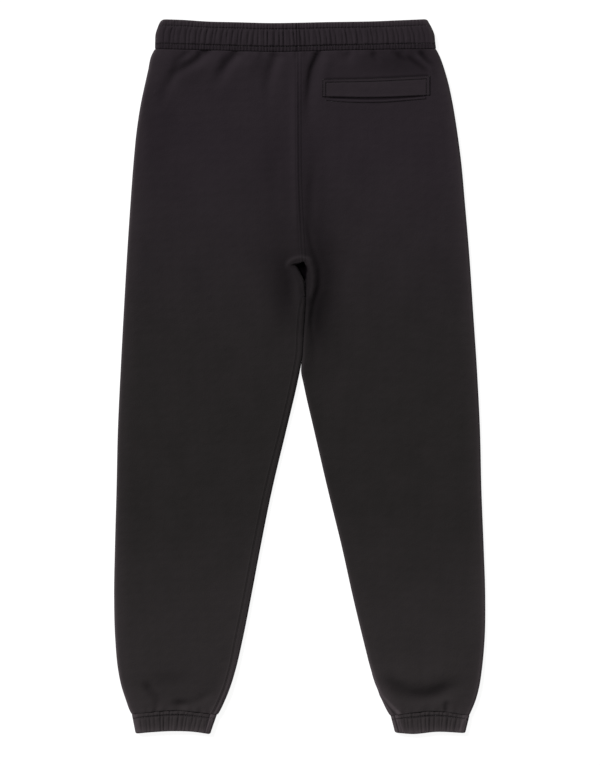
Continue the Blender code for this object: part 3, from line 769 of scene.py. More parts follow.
def make_cloth(
    name: str, points: Array, faces: list[list[int]], press_and_shade: Array, finish: bpy.types.Material,
    pale: Array | float = 0.0,
) -> bpy.types.Object:
    """Make a cloth piece.

    Args:
        name: The piece's name.
        points: Its points, in millimetres.
        faces: Its faces, which close it.
        press_and_shade: How far each point is pressed in by sewing or darkened by painted shade, from 0 to 1.
        finish: Its material.
        pale: How much painted highlight each point gets on top of its drop's painted light.

    Returns:
        The piece, its faces outwards and smooth.
    """
    mesh = bpy.data.meshes.new(name)
    mesh.from_pydata([tuple(point) for point in points * MM], [], faces)
    drop = LENGTH / 2 - points[:, 1]
    # Painted light by drop, with each point's painted highlight added.
    painted_light, cast = PAINTED_LIGHT_DOWN.read("share", drop) + pale, CAST.read("share", drop)
    for attribute, values in (("press_and_shade", press_and_shade), ("painted_light", painted_light), ("cast", cast)):
        layer = mesh.attributes.new(attribute, "FLOAT", "POINT")
        layer.data.foreach_set("value", values.astype(np.float32))
    mesh.shade_smooth()
    mesh.materials.append(finish)
    if signed_volume(mesh) < 0.0:
        mesh.flip_normals()
    return new_object(name, mesh)


def signed_volume(mesh: bpy.types.Mesh) -> float:
    """Measure a closed mesh.

    Args:
        mesh: The mesh.

    Returns:
        Its volume, below zero where its faces point inwards.
    """
    mesh.calc_loop_triangles()
    points = np.empty(len(mesh.vertices) * 3, np.float32)
    mesh.vertices.foreach_get("co", points)
    corners = np.empty(len(mesh.loop_triangles) * 3, np.int32)
    mesh.loop_triangles.foreach_get("vertices", corners)
    a, b, c = points.reshape(-1, 3).astype(float)[corners.reshape(-1, 3)].transpose(1, 0, 2)
    return float(np.einsum("ij,ij->i", a, np.cross(b, c)).sum() / 6)


def graded(start: float, end: float, first: float, growth: float) -> list[float]:
    """Return places whose steps grow by a factor.

    Args:
        start: The first place.
        end: The last place.
        first: The first step.
        growth: How many times as long as the one before it each step is.

    Returns:
        The places.
    """
    places, step = [start], first
    while places[-1] + step < end:
        places.append(places[-1] + step)
        step *= growth
    return places + [end]


# ---- Legs ----


@dataclass
class Leg:
    """One leg of the garment, flattened: the form that its panels share."""

    side: Side
    undulation: float = 0.28
    pucker: float = 0.5
    pucker_reach: tuple[float, float] = (9.0, 7.0)
    tuck: float = 0.3
    emerging: float = 1.5
    ridge_move: tuple[float, float] = (368.0, 16.0)
    softness: float = 0.3
    edge_line: Line = field(init=False)
    fork_line: Line = field(init=False)
    inseam_line: Line = field(init=False)
    centre_line: Line = field(init=False)
    contact_line: Line = field(init=False)
    rim_line: Line = field(init=False)
    rim_dark: Line = field(init=False)
    heights: dict[str, Line] = field(init=False)
    waist_over: Line = field(init=False)
    cuff_over: Line = field(init=False)

    def __post_init__(self) -> None:
        """Read the tables."""
        self.edge_line = OUTLINE.line(self.side.word)
        self.fork_line = INNER_FOLD.line(self.side.word)
        self.inseam_line = INSEAM.line(self.side.word)
        self.centre_line = CENTRE_SEAM.line("x")
        self.contact_line = CONTACT.line("x")
        self.rim_line = RIM_SLOPE.line(self.side.word)
        self.rim_dark = RIM_SLOPE.line(self.side.word + "_dark")
        self.heights = {name: HEIGHT.line(name) for name in HEIGHT.columns[1:]}
        self.waist_over = WAIST_SEAM.line("drop")
        self.cuff_over = CUFF_SEAM[self.side].line("drop")

    def drop_at(self, x: Array, station: Array | float, over: Array | bool = True) -> Array:
        """Return the drop of a station at x, bent to follow the curved seams above and below.

        Args:
            x: Points across the garment.
            station: The station's own drop.
            over: Whether each point is on the back; underneath, the seams run straight.

        Returns:
            The drop at each point.
        """
        near_waist = np.clip(1.0 - (station - PANEL_TOP) / SEAM_FADE, 0.0, 1.0) ** 2
        near_cuff = np.clip(1.0 - (PANEL_END - station) / SEAM_FADE, 0.0, 1.0) ** 2
        waist = np.where(over, self.waist_over(x), straight(WAIST_SEAM)(x))
        cuff = np.where(over, self.cuff_over(x), straight(CUFF_SEAM[self.side])(x))
        return station + near_waist * (waist - PANEL_TOP) + near_cuff * (cuff - PANEL_END)

    def inner_edge(self, station: Array | float) -> Array:
        """Return the reach of the back panel's inner edge.

        Args:
            station: The station's drop, or many.

        Returns:
            The centre seam's reach above the pit, and the inner fold's below its top.
        """
        sign = self.side.value
        return np.where(
            np.asarray(station) < PIT_TOP, sign * self.centre_line(station), sign * self.fork_line(station),
        )

    def ridge_line(self, station: Array | float) -> Array:
        """Return the reach from which the cloth's rise towards the middle is measured.

        Args:
            station: The station's drop, or many.

        Returns:
            The centre seam's reach, which gives way to the inner fold's in the pit.
        """
        centre, fork = self.centre_line(station), self.fork_line(station)
        start, length = self.ridge_move
        share = smooth((np.asarray(station) - start) / length)
        return self.side.value * (centre + (fork - centre) * share)

    def top_height(self, reach: Array, station: Array | float) -> Array:
        """Return the height of the back's outer face above the surface.

        Args:
            reach: Distances from the centre plane.
            station: The station's drop, or one for each reach.

        Returns:
            The heights.
        """
        x = self.side.value * reach
        from_side = self.edge_line(station) - reach
        from_inner = reach - self.ridge_line(station)
        middle = self.heights["middle"](station)
        height = (
            middle
            + (self.heights["side"](station) - middle) * bell(from_side, EDGE_BLEND)
            + (self.heights["inner"](station) - middle) * bell(from_inner, EDGE_BLEND)
        )
        drop = self.drop_at(x, station)
        height = height + self.waves(x, drop)
        for fold in FOLDS:
            height = height + fold.lift * fold.share_at(x, drop)
        spare = height - LEAST_TOP
        return LEAST_TOP + 0.5 * (spare + np.sqrt(spare**2 + self.softness))

    def waves(self, x: Array, drop: Array) -> Array:
        """Return how far the cloth rises and falls between its folds.

        Args:
            x: Points across the garment.
            drop: The same points' drops.

        Returns:
            The cloth's soft unevenness, with the small puckers beside the gathered bands.
        """
        # Each divisor is a wave's length over 2 pi, in millimetres.
        soft = np.sin(x / 27.0 + 1.1 * np.sin(drop / 61.0)) * np.sin(drop / 71.0 + 0.9 * np.sin(x / 45.0))
        soft = soft + 0.6 * np.sin(x / 13.0 + drop / 83.0) * np.sin(drop / 37.0 + 1.7)
        from_waist = drop - self.waist_over(x)
        from_cuff = self.cuff_over(x) - drop
        ripple = np.sin(x / 2.4 + 1.3 * np.sin(x / 11.0)) + 0.7 * np.sin(x / 3.7 + 2.0 * np.sin(x / 19.0))
        by_waist, by_cuff = self.pucker_reach
        fade = bell(from_waist, by_waist) + 1.3 * bell(from_cuff, by_cuff)
        return self.undulation * soft + self.pucker * ripple * fade * 0.6

    def fold_radius(self, station: float, edge: float, inward: float, guess: float) -> float:
        """Return the radius at which a fold's circle meets the back's outer face."""
        return float(self.top_height(np.array([edge + inward * guess]), station)[0]) / 2

    def section(self, station: float) -> tuple[float, float, float, float]:
        """Return where a station's two folds lie.

        Args:
            station: The station's drop.

        Returns:
            The side fold's reach, the inner edge's reach and both folds' radii.
        """
        side, inner = float(self.edge_line(station)), float(self.inner_edge(station))
        side_guess = float(self.heights["side"](station)) / 2
        inner_guess = float(self.heights["inner"](station)) / 2
        return (
            side, inner, self.fold_radius(station, side, -1.0, side_guess),
            self.fold_radius(station, inner, 1.0, inner_guess),
        )

    def inseam_place(self, station: float, radius: float) -> tuple[float, float]:
        """Return where the inseam lies on the inner fold.

        Args:
            station: The station's drop.
            radius: The inner fold's radius.

        Returns:
            The inseam's angle, and how far past the fold's top it lies.
        """
        reach = float(self.inseam_line(station))
        past_top = max(reach - radius * math.pi / 2, 0.0)
        return math.pi - (reach - past_top) / radius, past_top

    def back_path(self, station: float) -> Array:
        """Return the back panel's outer face at a station.

        Args:
            station: The station's drop.

        Returns:
            Its (reach, height) points, from the outseam over to its inner seam.
        """
        side, inner, side_radius, inner_radius = self.section(station)
        side_fold = arc((side - side_radius, side_radius), side_radius, OUTSEAM_ANGLE, math.pi / 2)
        ends: list[Array] = []
        if station < PIT_TOP:
            stop = inner
        elif station < PIT_END + BACK_LAG:
            slope = float(self.rim_line(station))
            stop = inner + slope
            rim_top = float(self.top_height(np.array([stop]), station)[0])
            turn = np.linspace(0.0, math.pi / 2, RIM_POINTS)[1:]
            rim = (stop - slope * np.sin(turn), FOOT + (rim_top - FOOT) * np.cos(turn))
            ends = [np.column_stack(rim)]
        else:
            angle, past_top = self.inseam_place(station, inner_radius)
            stop = inner + inner_radius + past_top
            if past_top == 0.0:
                centre = (inner + inner_radius, inner_radius)
                ends = [arc(centre, inner_radius, math.pi / 2, angle)[1:]]
        reach = np.linspace(side - side_radius, stop, TOP_POINTS)
        top = np.column_stack((reach, self.top_height(reach, station)))
        return np.vstack([side_fold[:-1], top, *ends])

    def front_path(self, station: float) -> Array:
        """Return the front panel's outer face at a station.

        Args:
            station: The station's drop.

        Returns:
            Its (reach, height) points, from its inner seam to the outseam.
        """
        side, inner, side_radius, inner_radius = self.section(station)
        side_fold = arc((side - side_radius, side_radius), side_radius, -math.pi / 2, OUTSEAM_ANGLE)
        if station < PIT_END:
            return np.vstack([[(self.side.value * float(self.centre_line(station)), 0.0)], side_fold])
        angle, past_top = self.inseam_place(station, inner_radius)
        tuck = self.tuck * (1.0 - ramp(station, PIT_END + BACK_LAG, self.emerging))
        pieces = []
        if past_top > 0.0:
            fold_top = inner + inner_radius
            reach = np.linspace(fold_top + past_top, fold_top, SEAM_POINTS)
            pieces.append(np.column_stack((reach, self.top_height(reach, station) - tuck))[:-1])
        fold = arc((inner + inner_radius, inner_radius), inner_radius - tuck, angle, 1.5 * math.pi)
        return np.vstack([*pieces, fold, side_fold])


def arc(centre: tuple[float, float], radius: float, start: float, end: float) -> Array:
    """Return points on an arc in the section plane, angles measured from outwards."""
    angles = np.linspace(start, end, ARC_POINTS)
    return np.column_stack((centre[0] + radius * np.cos(angles), centre[1] + radius * np.sin(angles)))


@dataclass
class LegPanel:
    """One cut panel of a leg: a fleece wall swept down the garment."""

    leg: Leg
    layer: Layer
    finish: bpy.types.Material
    middle_lanes: int
    groove: float = 0.4
    groove_width: float = 0.75
    edge_dip: float = 0.4
    needle_press: float = 0.1
    allowance: float = 0.45
    allowance_at: float = 0.6
    allowance_width: float = 1.2
    edge_width: float = 0.7
    shown_from: float = 2.0
    shown_span: float = 2.0
    rim_share: float = 1.1
    rim_curve: float = 1.3
    rim_fade: float = 0.6
    rim_fading: tuple[float, float] = (357.0, 10.0)
    contact_lead: float = 4.0
    centre_sewn: float = 0.46
    right_sewn_from: float = 915.0
    strip_line: tuple[float, float, float] = (954.0, 0.45, 7.4)
    strip_highlight: float = 0.8
    strip_width: float = 2.6
    band_ditch: float = 0.25
    band_ditch_width: float = 0.9
    ankle_press: float = 0.42
    ankle_press_width: float = 0.9
    contact_shade: float = 0.12
    contact_width: float = 1.8
    edge_reach: float = 3.6
    glow_reach: float = 14.0
    area: float = field(init=False, default=0.0)
    width: float = field(init=False, default=0.0)
    length: float = field(init=False, default=0.0)

    @property
    def node(self) -> str:
        """The CAD node that the panel replaces."""
        return f"{self.layer.value}_leg_{self.leg.side.word}"

    def stations(self) -> list[float]:
        """Return every station, closest together at seams, the pocket and the fork.

        Returns:
            The stations' drops.
        """
        # Each run of stations: where it starts, where it ends and the step.
        spans = (
            (PANEL_TOP, 50.0, 0.5), (50.0, 98.0, 1.6), (98.0, 122.0, 1.0), (122.0, 160.0, 2.4),
            (160.0, 322.0, 4.2), (322.0, 338.6, 1.3), (339.2, 348.0, 0.65), (348.0, 378.0, 1.5),
            (378.0, 383.5, 0.8), (384.5, 386.5, 1.0), (387.5, 396.0, 0.85), (396.0, 440.0, 2.4),
            (440.0, 505.0, 3.8), (505.0, 900.0, 7.5), (900.0, 962.0, 1.6), (962.0, PANEL_END, 0.6),
        )
        drops: list[float] = []
        for start, end, step in spans:
            for drop in np.linspace(start, end, round((end - start) / step) + 1):
                if not drops or drop - drops[-1] > 0.1:
                    drops.append(float(drop))
        return drops

    def lanes(self, total: float, rim: float) -> tuple[Array, Array]:
        """Place the lanes along a station's path.

        Args:
            total: The path's length.
            rim: How much of its end is the rim that turns down into the pit.

        Returns:
            Each lane's length along the path, and its length to the sewn inner seam.
        """
        fine = graded(0.0, 6.0, 0.4, 1.04)
        if self.layer is Layer.BACK:
            starts = graded(0.0, 12.0, 0.6, 1.1)
            ends = fine[1:-1] + graded(6.0, 15.0, 0.8, 1.1)
            down = total - rim * np.linspace(1.0, 0.0, RIM_LANES + 1)
        else:
            starts = fine[:-1] + graded(6.0, 30.0, 0.8, 1.04)
            ends = graded(0.0, 12.0, 0.6, 1.15)
            down = np.array([])
        main = total - rim
        even = np.linspace(starts[-1], main - ends[-1], self.middle_lanes + 2)[1:-1]
        lanes = np.concatenate((starts, even, main - np.array(ends[::-1]), down))
        return lanes, total - lanes if self.layer is Layer.BACK else lanes

    def row(self, station: float) -> tuple[Array, Array, Array]:
        """Return a station's points, in the section plane.

        Args:
            station: The station's drop.

        Returns:
            Its outer points, its inner points and the press and painted shade at each.
        """
        path = self.leg.back_path(station) if self.layer is Layer.BACK else self.leg.front_path(station)
        steps = np.hypot(*np.diff(path, axis=0).T)
        path = path[np.append(True, steps > 1e-7)]
        length = np.append(0.0, np.cumsum(np.hypot(*np.diff(path, axis=0).T)))
        rim = self.rim_length(station, path, length)
        lanes, to_seam = self.lanes(length[-1], rim)
        tangents = np.gradient(path, length, axis=0, edge_order=2)
        outer = np.column_stack([np.interp(lanes, length, path[:, axis]) for axis in (0, 1)])
        run = np.column_stack([np.interp(lanes, length, tangents[:, axis]) for axis in (0, 1)])
        run /= np.hypot(run[:, 0], run[:, 1])[:, None]
        outward = np.column_stack((run[:, 1], -run[:, 0]))
        inner = outer - outward * WALL
        needle = bell(to_seam - self.needle_row(station), self.groove_width)
        padded = self.allowance * bell(to_seam - self.allowance_at * NEEDLE_ROW, self.allowance_width)
        edge = bell(to_seam, self.edge_width)
        sewn = self.sewn(station)
        above = smooth((outer[:, 1] - self.shown_from) / self.shown_span)
        sink = (self.groove * needle + self.edge_dip * edge - padded) * sewn * above
        near_seam = min(station - PANEL_TOP, PANEL_END - station)
        sink = sink + self.band_ditch * bell(near_seam, self.band_ditch_width) * above
        outer -= outward * sink[:, None]
        press_and_shade = self.needle_press * needle * sewn * above
        self.width = max(self.width, float(length[-1]))
        side = self.leg.side
        shown = self.ankle_press * ramp(station, ANKLE_SEAM[side], SEAM_RAMP)
        press_and_shade = press_and_shade + shown * bell(to_seam, self.ankle_press_width) * above
        # The rim that turns down into the pit at the fork gets painted shade, darkest at its foot and weaker
        # lower down.
        if self.layer is Layer.BACK and PIT_TOP < station < PIT_END + BACK_LAG:
            across = outer[:, 0] - float(self.leg.inner_edge(station))
            share = self.rim_share - across / float(self.leg.rim_dark(station))
            share = np.clip(share, 0.0, 1.0) ** self.rim_curve
            share = share * (1.0 - self.rim_fade * ramp(station, *self.rim_fading))
            press_and_shade = np.maximum(press_and_shade, share * (to_seam < 1.2 * rim))
        if station >= PIT_END - self.contact_lead:
            meeting = side.value * float(self.leg.contact_line(station))
            if station < CONTACT.rows[-1][0]:
                outer[:, 0] = np.maximum(outer[:, 0], meeting)
                # On the right leg, painted shade runs along the line where the legs touch.
                if side is Side.RIGHT:
                    touching = bell(outer[:, 0] - meeting, self.contact_width)
                    press_and_shade = press_and_shade + self.contact_shade * touching
        return outer, inner, np.clip(press_and_shade, 0.0, 1.0)

    def rim_length(self, station: float, path: Array, length: Array) -> float:
        """Return how much of a back path's end turns down over the inner fold or into the pit.

        Args:
            station: The station's drop.
            path: The path's points; not used.
            length: The length along the path at each point.

        Returns:
            The rim's length.
        """
        if self.layer is Layer.FRONT:
            return 0.0
        if station < PIT_TOP:
            return RIM_END
        if station < PIT_END + BACK_LAG:
            return float(length[-1] - length[-RIM_POINTS])
        _, _, _, radius = self.leg.section(station)
        angle, _ = self.leg.inseam_place(station, radius)
        hidden = 1.0 - ramp(station, SEAM_SURFACES, 40.0)
        return max(RIM_END, radius * (angle - math.pi / 2) * hidden)

    def needle_row(self, station: float) -> float:
        """Return how far the stitched rows lie from the seam: closer on the inseam."""
        return NEEDLE_ROW if station < PIT_TOP else INSEAM_ROW

    def sewn(self, station: float) -> float:
        """Return how strongly the inner seam's stitching shows.

        Args:
            station: The station's drop.

        Returns:
            A share from 0 to 1.
        """
        if station < PIT_TOP:
            return self.centre_sewn
        if station < PIT_END + BACK_LAG or self.leg.side is Side.RIGHT and station < self.right_sewn_from:
            return 0.0
        return ramp(station, PIT_END + BACK_LAG, SEAM_RAMP)

    def pale(self, reach: Array, station: float) -> Array:
        """Return the painted highlight on the cloth at the leg's folded edges and beside the right ankle's
        inseam.

        Args:
            reach: Points across the leg.
            station: The station's drop.

        Returns:
            How much paler each point is.
        """
        ends = {"outer": float(self.leg.edge_line(station)) - reach}
        if station > EDGE_INNER_START:
            ends["inner"] = reach - float(self.leg.inner_edge(station))
        pale = np.zeros(len(reach))
        for end, away in ends.items():
            column = f"{self.leg.side.word}_{end}"
            pale += float(EDGE_HIGHLIGHT.read(column, station)) * bell(away, self.edge_reach)
            pale += float(EDGE_GLOW.read(column, station)) * bell(away, self.glow_reach)
        # A strip of painted highlight beside the right leg's inseam above the cuff.
        if self.leg.side is Side.RIGHT and self.layer is Layer.BACK and station > ANKLE_SEAM[Side.RIGHT]:
            start, slope, reached = self.strip_line
            away = reach - float(self.leg.inner_edge(station)) - slope * (station - start) - reached
            shown = ramp(station, ANKLE_SEAM[Side.RIGHT], SEAM_RAMP)
            pale += self.strip_highlight * shown * bell(away, self.strip_width)
        return pale

    def build(self) -> bpy.types.Object:
        """Build and dress the panel.

        Returns:
            The panel's piece, declared to the frame.
        """
        outer_rows, inner_rows, pressed_and_shaded, paled, spans = [], [], [], [], []
        for station in self.stations():
            outer, inner, press_and_shade = self.row(station)
            x, drop = self.leg.side.value * outer[:, 0], np.full(len(outer), station)
            # Patches of painted shade, and painted shade along the folds.
            press_and_shade = press_and_shade + sum(shade.at(x, drop) for shade in SHADES)
            press_and_shade = press_and_shade + sum(fold.dark * fold.share_at(x, drop) for fold in FOLDS)
            pressed_and_shaded.append(np.clip(press_and_shade, 0.0, 1.0))
            paled.append(self.pale(outer[:, 0], station))
            for points, rows in ((outer, outer_rows), (inner, inner_rows)):
                x = self.leg.side.value * points[:, 0]
                drop = self.leg.drop_at(x, station, over=points[:, 1] > WALL)
                rows.append(np.column_stack((x, LENGTH / 2 - drop, points[:, 1])))
            spans.append(float(np.hypot(*np.diff(outer, axis=0).T).sum()))
        stations = np.array(self.stations())
        self.area = float(np.diff(stations) @ (np.array(spans)[1:] + np.array(spans)[:-1]) / 2)
        self.length = float(stations[-1] - stations[0])
        rows, columns = len(outer_rows), len(outer_rows[0])
        # The inner faces, seen only down in the pit at the fork, are painted fully dark as shade.
        press_and_shade = np.concatenate(pressed_and_shaded + [np.ones(rows * columns)])
        pale = np.concatenate(paled + [np.zeros(rows * columns)])
        points = np.vstack(outer_rows + inner_rows)
        name = f"{self.layer.value}_panel_{self.leg.side.word}"
        piece = make_cloth(name, points, wall_faces(rows, columns), press_and_shade, self.finish, pale)
        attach(piece, ROOT)
        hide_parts(self.node)
        LOG.info("%s: %d x %d lanes, %.4f m2", name, rows, columns, self.area * MM * MM)
        return piece


# ---- Gathered bands ----


@dataclass
class GatheredBand:
    """A band of folded fleece over elastic, laid flat: gathered above, flat underneath."""

    node: str
    gathers: int
    wall: float
    height: float
    lift: float
    left: Line
    right: Line
    top: Table
    bottom: Table
    free_at_top: bool
    lean: Line
    stitched: tuple[tuple[float, float, float], ...]
    depth: float
    cut_width: float
    finish: bpy.types.Material
    seed: int
    tick: float = 4.4
    column_step: float = 0.75
    under_steps: int = 40
    side_steps: int = 14
    tuck: float = 0.8
    corner: float = 2.0
    join: Line | None = None
    settle: float = 1.7
    valley_shade: float = 0.2
    least_valley: float = 0.45
    rim_highlight: float = 0.2
    rim_reach: float = 5.0
    end_highlight: float = 0.25
    end_reach: float = 5.0
    fade_down: float = 0.0
    join_press: float = 0.4
    join_highlight: float = 0.0
    row_width: float = 1.1
    seam_press: float = 0.0
    seam_width: float = 1.5
    row_flattens: float = 0.75
    flat_width: float = 2.2
    groove_width: float = 0.85
    edge_gain: float = 0.35
    edge_run: float = 3.0
    outer_gain: float = 0.45
    least_gain: float = 0.12
    tick_gains: tuple[float, float] = (1.3, 0.8)
    tick_lift: float = 0.2
    puff_gain: float = 1.9
    puff_curve: float = 0.6
    sink_gain: float = 0.9
    valley_width: float = 0.8
    join_groove: tuple[float, float] = (1.5, 0.75)
    join_ridge: tuple[float, float, float] = (0.8, 2.2, 1.4)
    join_width: float = 0.95
    join_glow: tuple[float, float] = (3.6, 2.2)
    settle_share: float = 0.22
    inset_fade: float = 0.6
    rim_line: float = 1.3

    def rings(self) -> list[tuple[float, float]]:
        """Return the band's rings, over its outer face, round its edges and back inside.

        Returns:
            Each ring's share of the band's depth and its move in as a share of the wall.
        """
        fine = 0.62 / self.depth
        rim = self.wall / 2 / self.depth
        turn = [
            (rim * (1 - math.sin(angle)), 0.5 * (1 - math.cos(angle)))
            for angle in np.linspace(math.pi / 2, 0.0, 8)[::-1]
        ]
        edge = turn[::-1]
        middle = [(float(a), 0.0) for a in np.arange(rim + fine, 1.0 - 0.6 * fine, fine)]
        corner = [
            (1.0 - self.corner * (1 - math.sin(a)) / self.depth, self.corner * (1 - math.cos(a)) / self.wall)
            for a in np.linspace(0.0, math.pi / 2, 6)
        ]
        middle = [ring for ring in middle if ring[0] < corner[0][0] - 0.5 * fine]
        closing = corner + [(1.0, 1.0), (0.5, 1.0)]
        inner = [(a, 1.0 - b) for a, b in turn if b < 0.5]
        rings = edge + middle + closing + inner
        return rings if self.free_at_top else [(1.0 - along, inset) for along, inset in rings]

    @cached_property
    def valleys(self) -> tuple[Array, Array, Array]:
        """The gathers' valleys.

        Returns:
            Each valley's share of the width, depth and lean.
        """
        steps = 2.0 * np.arange(self.gathers + 1)
        drift = 0.32 * np.sin(1.9 * steps + 0.6) + 0.14 * np.sin(0.73 * steps)
        drift[0] = drift[-1] = 0.0
        chance = np.random.default_rng(self.seed)
        shares = (steps + drift) / (2 * self.gathers)
        depths = self.least_valley + (0.95 - self.least_valley) * chance.uniform(0.0, 1.0, len(steps)) ** 1.4
        return shares, depths, chance.uniform(-1.6, 1.6, len(steps))

    @cached_property
    def spans(self) -> tuple[Array, Array, Array]:
        """How the gathers swell.

        Returns:
            How high each one puffs, where along the band it is widest and how far it runs.
        """
        chance = np.random.default_rng(self.seed + 1)
        count = self.gathers + 2
        return (
            chance.uniform(0.55, 1.0, count), chance.uniform(0.3, 0.7, count),
            chance.uniform(0.35, 1.1, count),
        )

    def profile(self, along: float) -> tuple[float, float, float, float]:
        """Return how the upper face changes down the band.

        Args:
            along: The ring's share of the band's depth.

        Returns:
            The gathers' gain, the ticks' gain and the stitched groove's depth and press.
        """
        gather, groove, pressed_and_shaded = 1.0, 0.0, 0.0
        for place, sink, press_and_shade in self.stitched:
            away = abs(along - place) * self.depth
            gather -= self.row_flattens * bell(away, self.flat_width)
            groove += sink * bell(away, self.groove_width)
            pressed_and_shaded += press_and_shade * bell(away, self.row_width)
        first, last = self.stitched[0][0], self.stitched[-1][0]
        between = 1.0 if len(self.stitched) == 1 else float(first < along < last)
        edge = min(along, 1.0 - along) * self.depth
        at_edge = float(smooth(np.array(edge / self.edge_run)))
        gather *= self.edge_gain + (1.0 - self.edge_gain) * at_edge
        if not between and len(self.stitched) > 1:
            gather *= self.outer_gain
        gather *= 1.0 - self.fade_down * float(smooth(np.array(along)))
        outside, less = self.tick_gains
        return max(gather, self.least_gain), outside - less * between, groove, pressed_and_shaded

    def raised(self, x: Array, left: float, right: float, along: float) -> tuple[Array, Array]:
        """Return how far the gathers raise the upper face, and how far the cloth is pressed or painted with
        shade.

        Args:
            x: Points across the upper face.
            left: Where the upper face starts.
            right: Where it ends.
            along: The ring's share of the band's depth.

        Returns:
            The lift, and the press and painted shade at each point.
        """
        gain, tick, groove, pressed_and_shaded = self.profile(along)
        shares, depths, leans = self.valleys
        puffs, centres, runs = self.spans
        valleys = left + shares * (right - left)
        valleys = valleys + (self.lean(valleys) + leans) * (0.5 - along) * np.sin(math.pi * shares)
        valleys = np.maximum.accumulate(valleys + np.arange(len(valleys)) * 1e-3)
        index = np.clip(np.searchsorted(valleys, x, side="right") - 1, 0, len(valleys) - 2)
        t = np.clip((x - valleys[index]) / (valleys[index + 1] - valleys[index]), 0.0, 1.0)
        run = bell(along - centres[index], runs[index])
        puff = puffs[index] * run * np.sin(math.pi * t) ** self.puff_curve
        sink = depths[index] * (1 - t) + depths[index + 1] * t
        lift = gain * self.lift * (self.puff_gain * puff - self.sink_gain * sink)
        wiggle = np.sin(2 * math.pi * x / self.tick + 1.4 * np.sin(x / 7.3) + 0.9 * np.sin(x / 17.0))
        lift = lift + self.tick_lift * tick * self.lift * wiggle - groove
        if self.join is not None:
            away = x - self.join(along)
            depth, width = self.join_groove
            rise, beside, spread = self.join_ridge
            lift = lift - depth * bell(away, width) + rise * bell(away - beside, spread)
        fade = np.sin(math.pi * np.clip((x - left) / (right - left), 0.0, 1.0)) ** 0.2
        from_valley = np.minimum(t, 1 - t) * (valleys[index + 1] - valleys[index])
        valley_line = bell(from_valley, self.valley_width)
        # Painted shade in the gathers' valleys, with the stitched rows' press.
        dark = self.valley_shade * valley_line * gain * sink + pressed_and_shaded
        return lift * fade, np.clip(dark * fade, 0.0, 1.0)

    def ring(self, along: float, inset: float) -> tuple[Array, Array, Array]:
        """Return one ring, over the top, down the right and back below.

        Args:
            along: The ring's share of the band's depth.
            inset: Its move in as a share of the wall.

        Returns:
            Its points, and the press and painted shade and the painted highlight at each.
        """
        move = inset * self.wall
        left, right = float(self.left(along)) + move, float(self.right(along)) - move
        to_seam = 1.0 - along if self.free_at_top else along
        risen = float(smooth(np.array(to_seam / self.settle_share)))
        height = self.height - self.settle * (1.0 - risen)
        radius = height / 2 - move
        start, stop = left + radius, right - radius
        steps = round((float(self.right(0.5)) - float(self.left(0.5)) - self.height) / self.column_step)
        x = np.linspace(start, stop, steps + 1)
        lift, dark = self.raised(x, start, stop, along)
        keep = 1.0 - smooth(np.array(inset / self.inset_fade))
        upper = np.column_stack((x, height / 2 + radius + keep * lift))
        turn = math.pi * np.arange(1, self.side_steps) / self.side_steps
        down = np.column_stack((stop + radius * np.sin(turn), height / 2 + radius * np.cos(turn)))
        under_x = np.linspace(stop, start, self.under_steps + 1)
        under = np.column_stack((under_x, np.full_like(under_x, height / 2 - radius)))
        back = np.column_stack((start - radius * np.sin(turn), height / 2 - radius * np.cos(turn)))
        section = np.vstack((upper, down, under, back))
        dark = np.maximum(dark, self.seam_press * bell(to_seam * self.depth, self.seam_width))
        over = section[:, 1] > height / 2 - 0.01
        press_and_shade = np.where(over, keep * 0.8 * self.profile(along)[3], 0.0)
        press_and_shade[: len(x)] = keep * dark
        ridge = 0.0
        if self.join is not None:
            from_join = section[:, 0] - self.join(along)
            seam = self.join_press * bell(from_join, self.join_width)
            press_and_shade = np.maximum(press_and_shade, seam * over * keep)
            # Painted highlight on the ridge beside the joining seam.
            beside, spread = self.join_glow
            ridge = self.join_highlight * over * bell(from_join - beside, spread)
        top_over, bottom_over = self.top.line("drop")(section[:, 0]), self.bottom.line("drop")(section[:, 0])
        top_under, bottom_under = straight(self.top)(section[:, 0]), straight(self.bottom)(section[:, 0])
        if self.free_at_top:
            top_under = top_over + self.tuck
        else:
            bottom_under = bottom_over - self.tuck
        top = np.where(over, top_over, top_under)
        bottom = np.where(over, bottom_over, bottom_under)
        drop = top * (1.0 - along) + bottom * along
        edge = (along if self.free_at_top else 1.0 - along) * self.depth
        # Painted highlight along the band's free edge and at its ends, twice as strong at the right end.
        pale = ridge + self.rim_highlight * (bell(edge, self.rim_reach) + bell(edge, self.rim_line))
        for away, gain in ((section[:, 0] - left, 1.0), (right - section[:, 0], 2.0)):
            pale = pale + gain * self.end_highlight * bell(away, self.end_reach)
        return np.column_stack((section[:, 0], LENGTH / 2 - drop, section[:, 1])), press_and_shade, pale

    def build(self) -> bpy.types.Object:
        """Returns:
            The band's piece.
        """
        rings = [self.ring(along, inset) for along, inset in self.rings()]
        around = len(rings[0][0])
        points = np.vstack([ring[0] for ring in rings])
        press_and_shade, pale = (np.concatenate([ring[at] for ring in rings]) for at in (1, 2))
        name = self.node + "_gathered"
        piece = make_cloth(name, points, tube_faces(len(rings), around), press_and_shade, self.finish, pale)
        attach(piece, ROOT)
        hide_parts(self.node)
        LOG.info("%s: %d rings of %d points", name, len(rings), around)
        return piece


# ---- Pocket ----


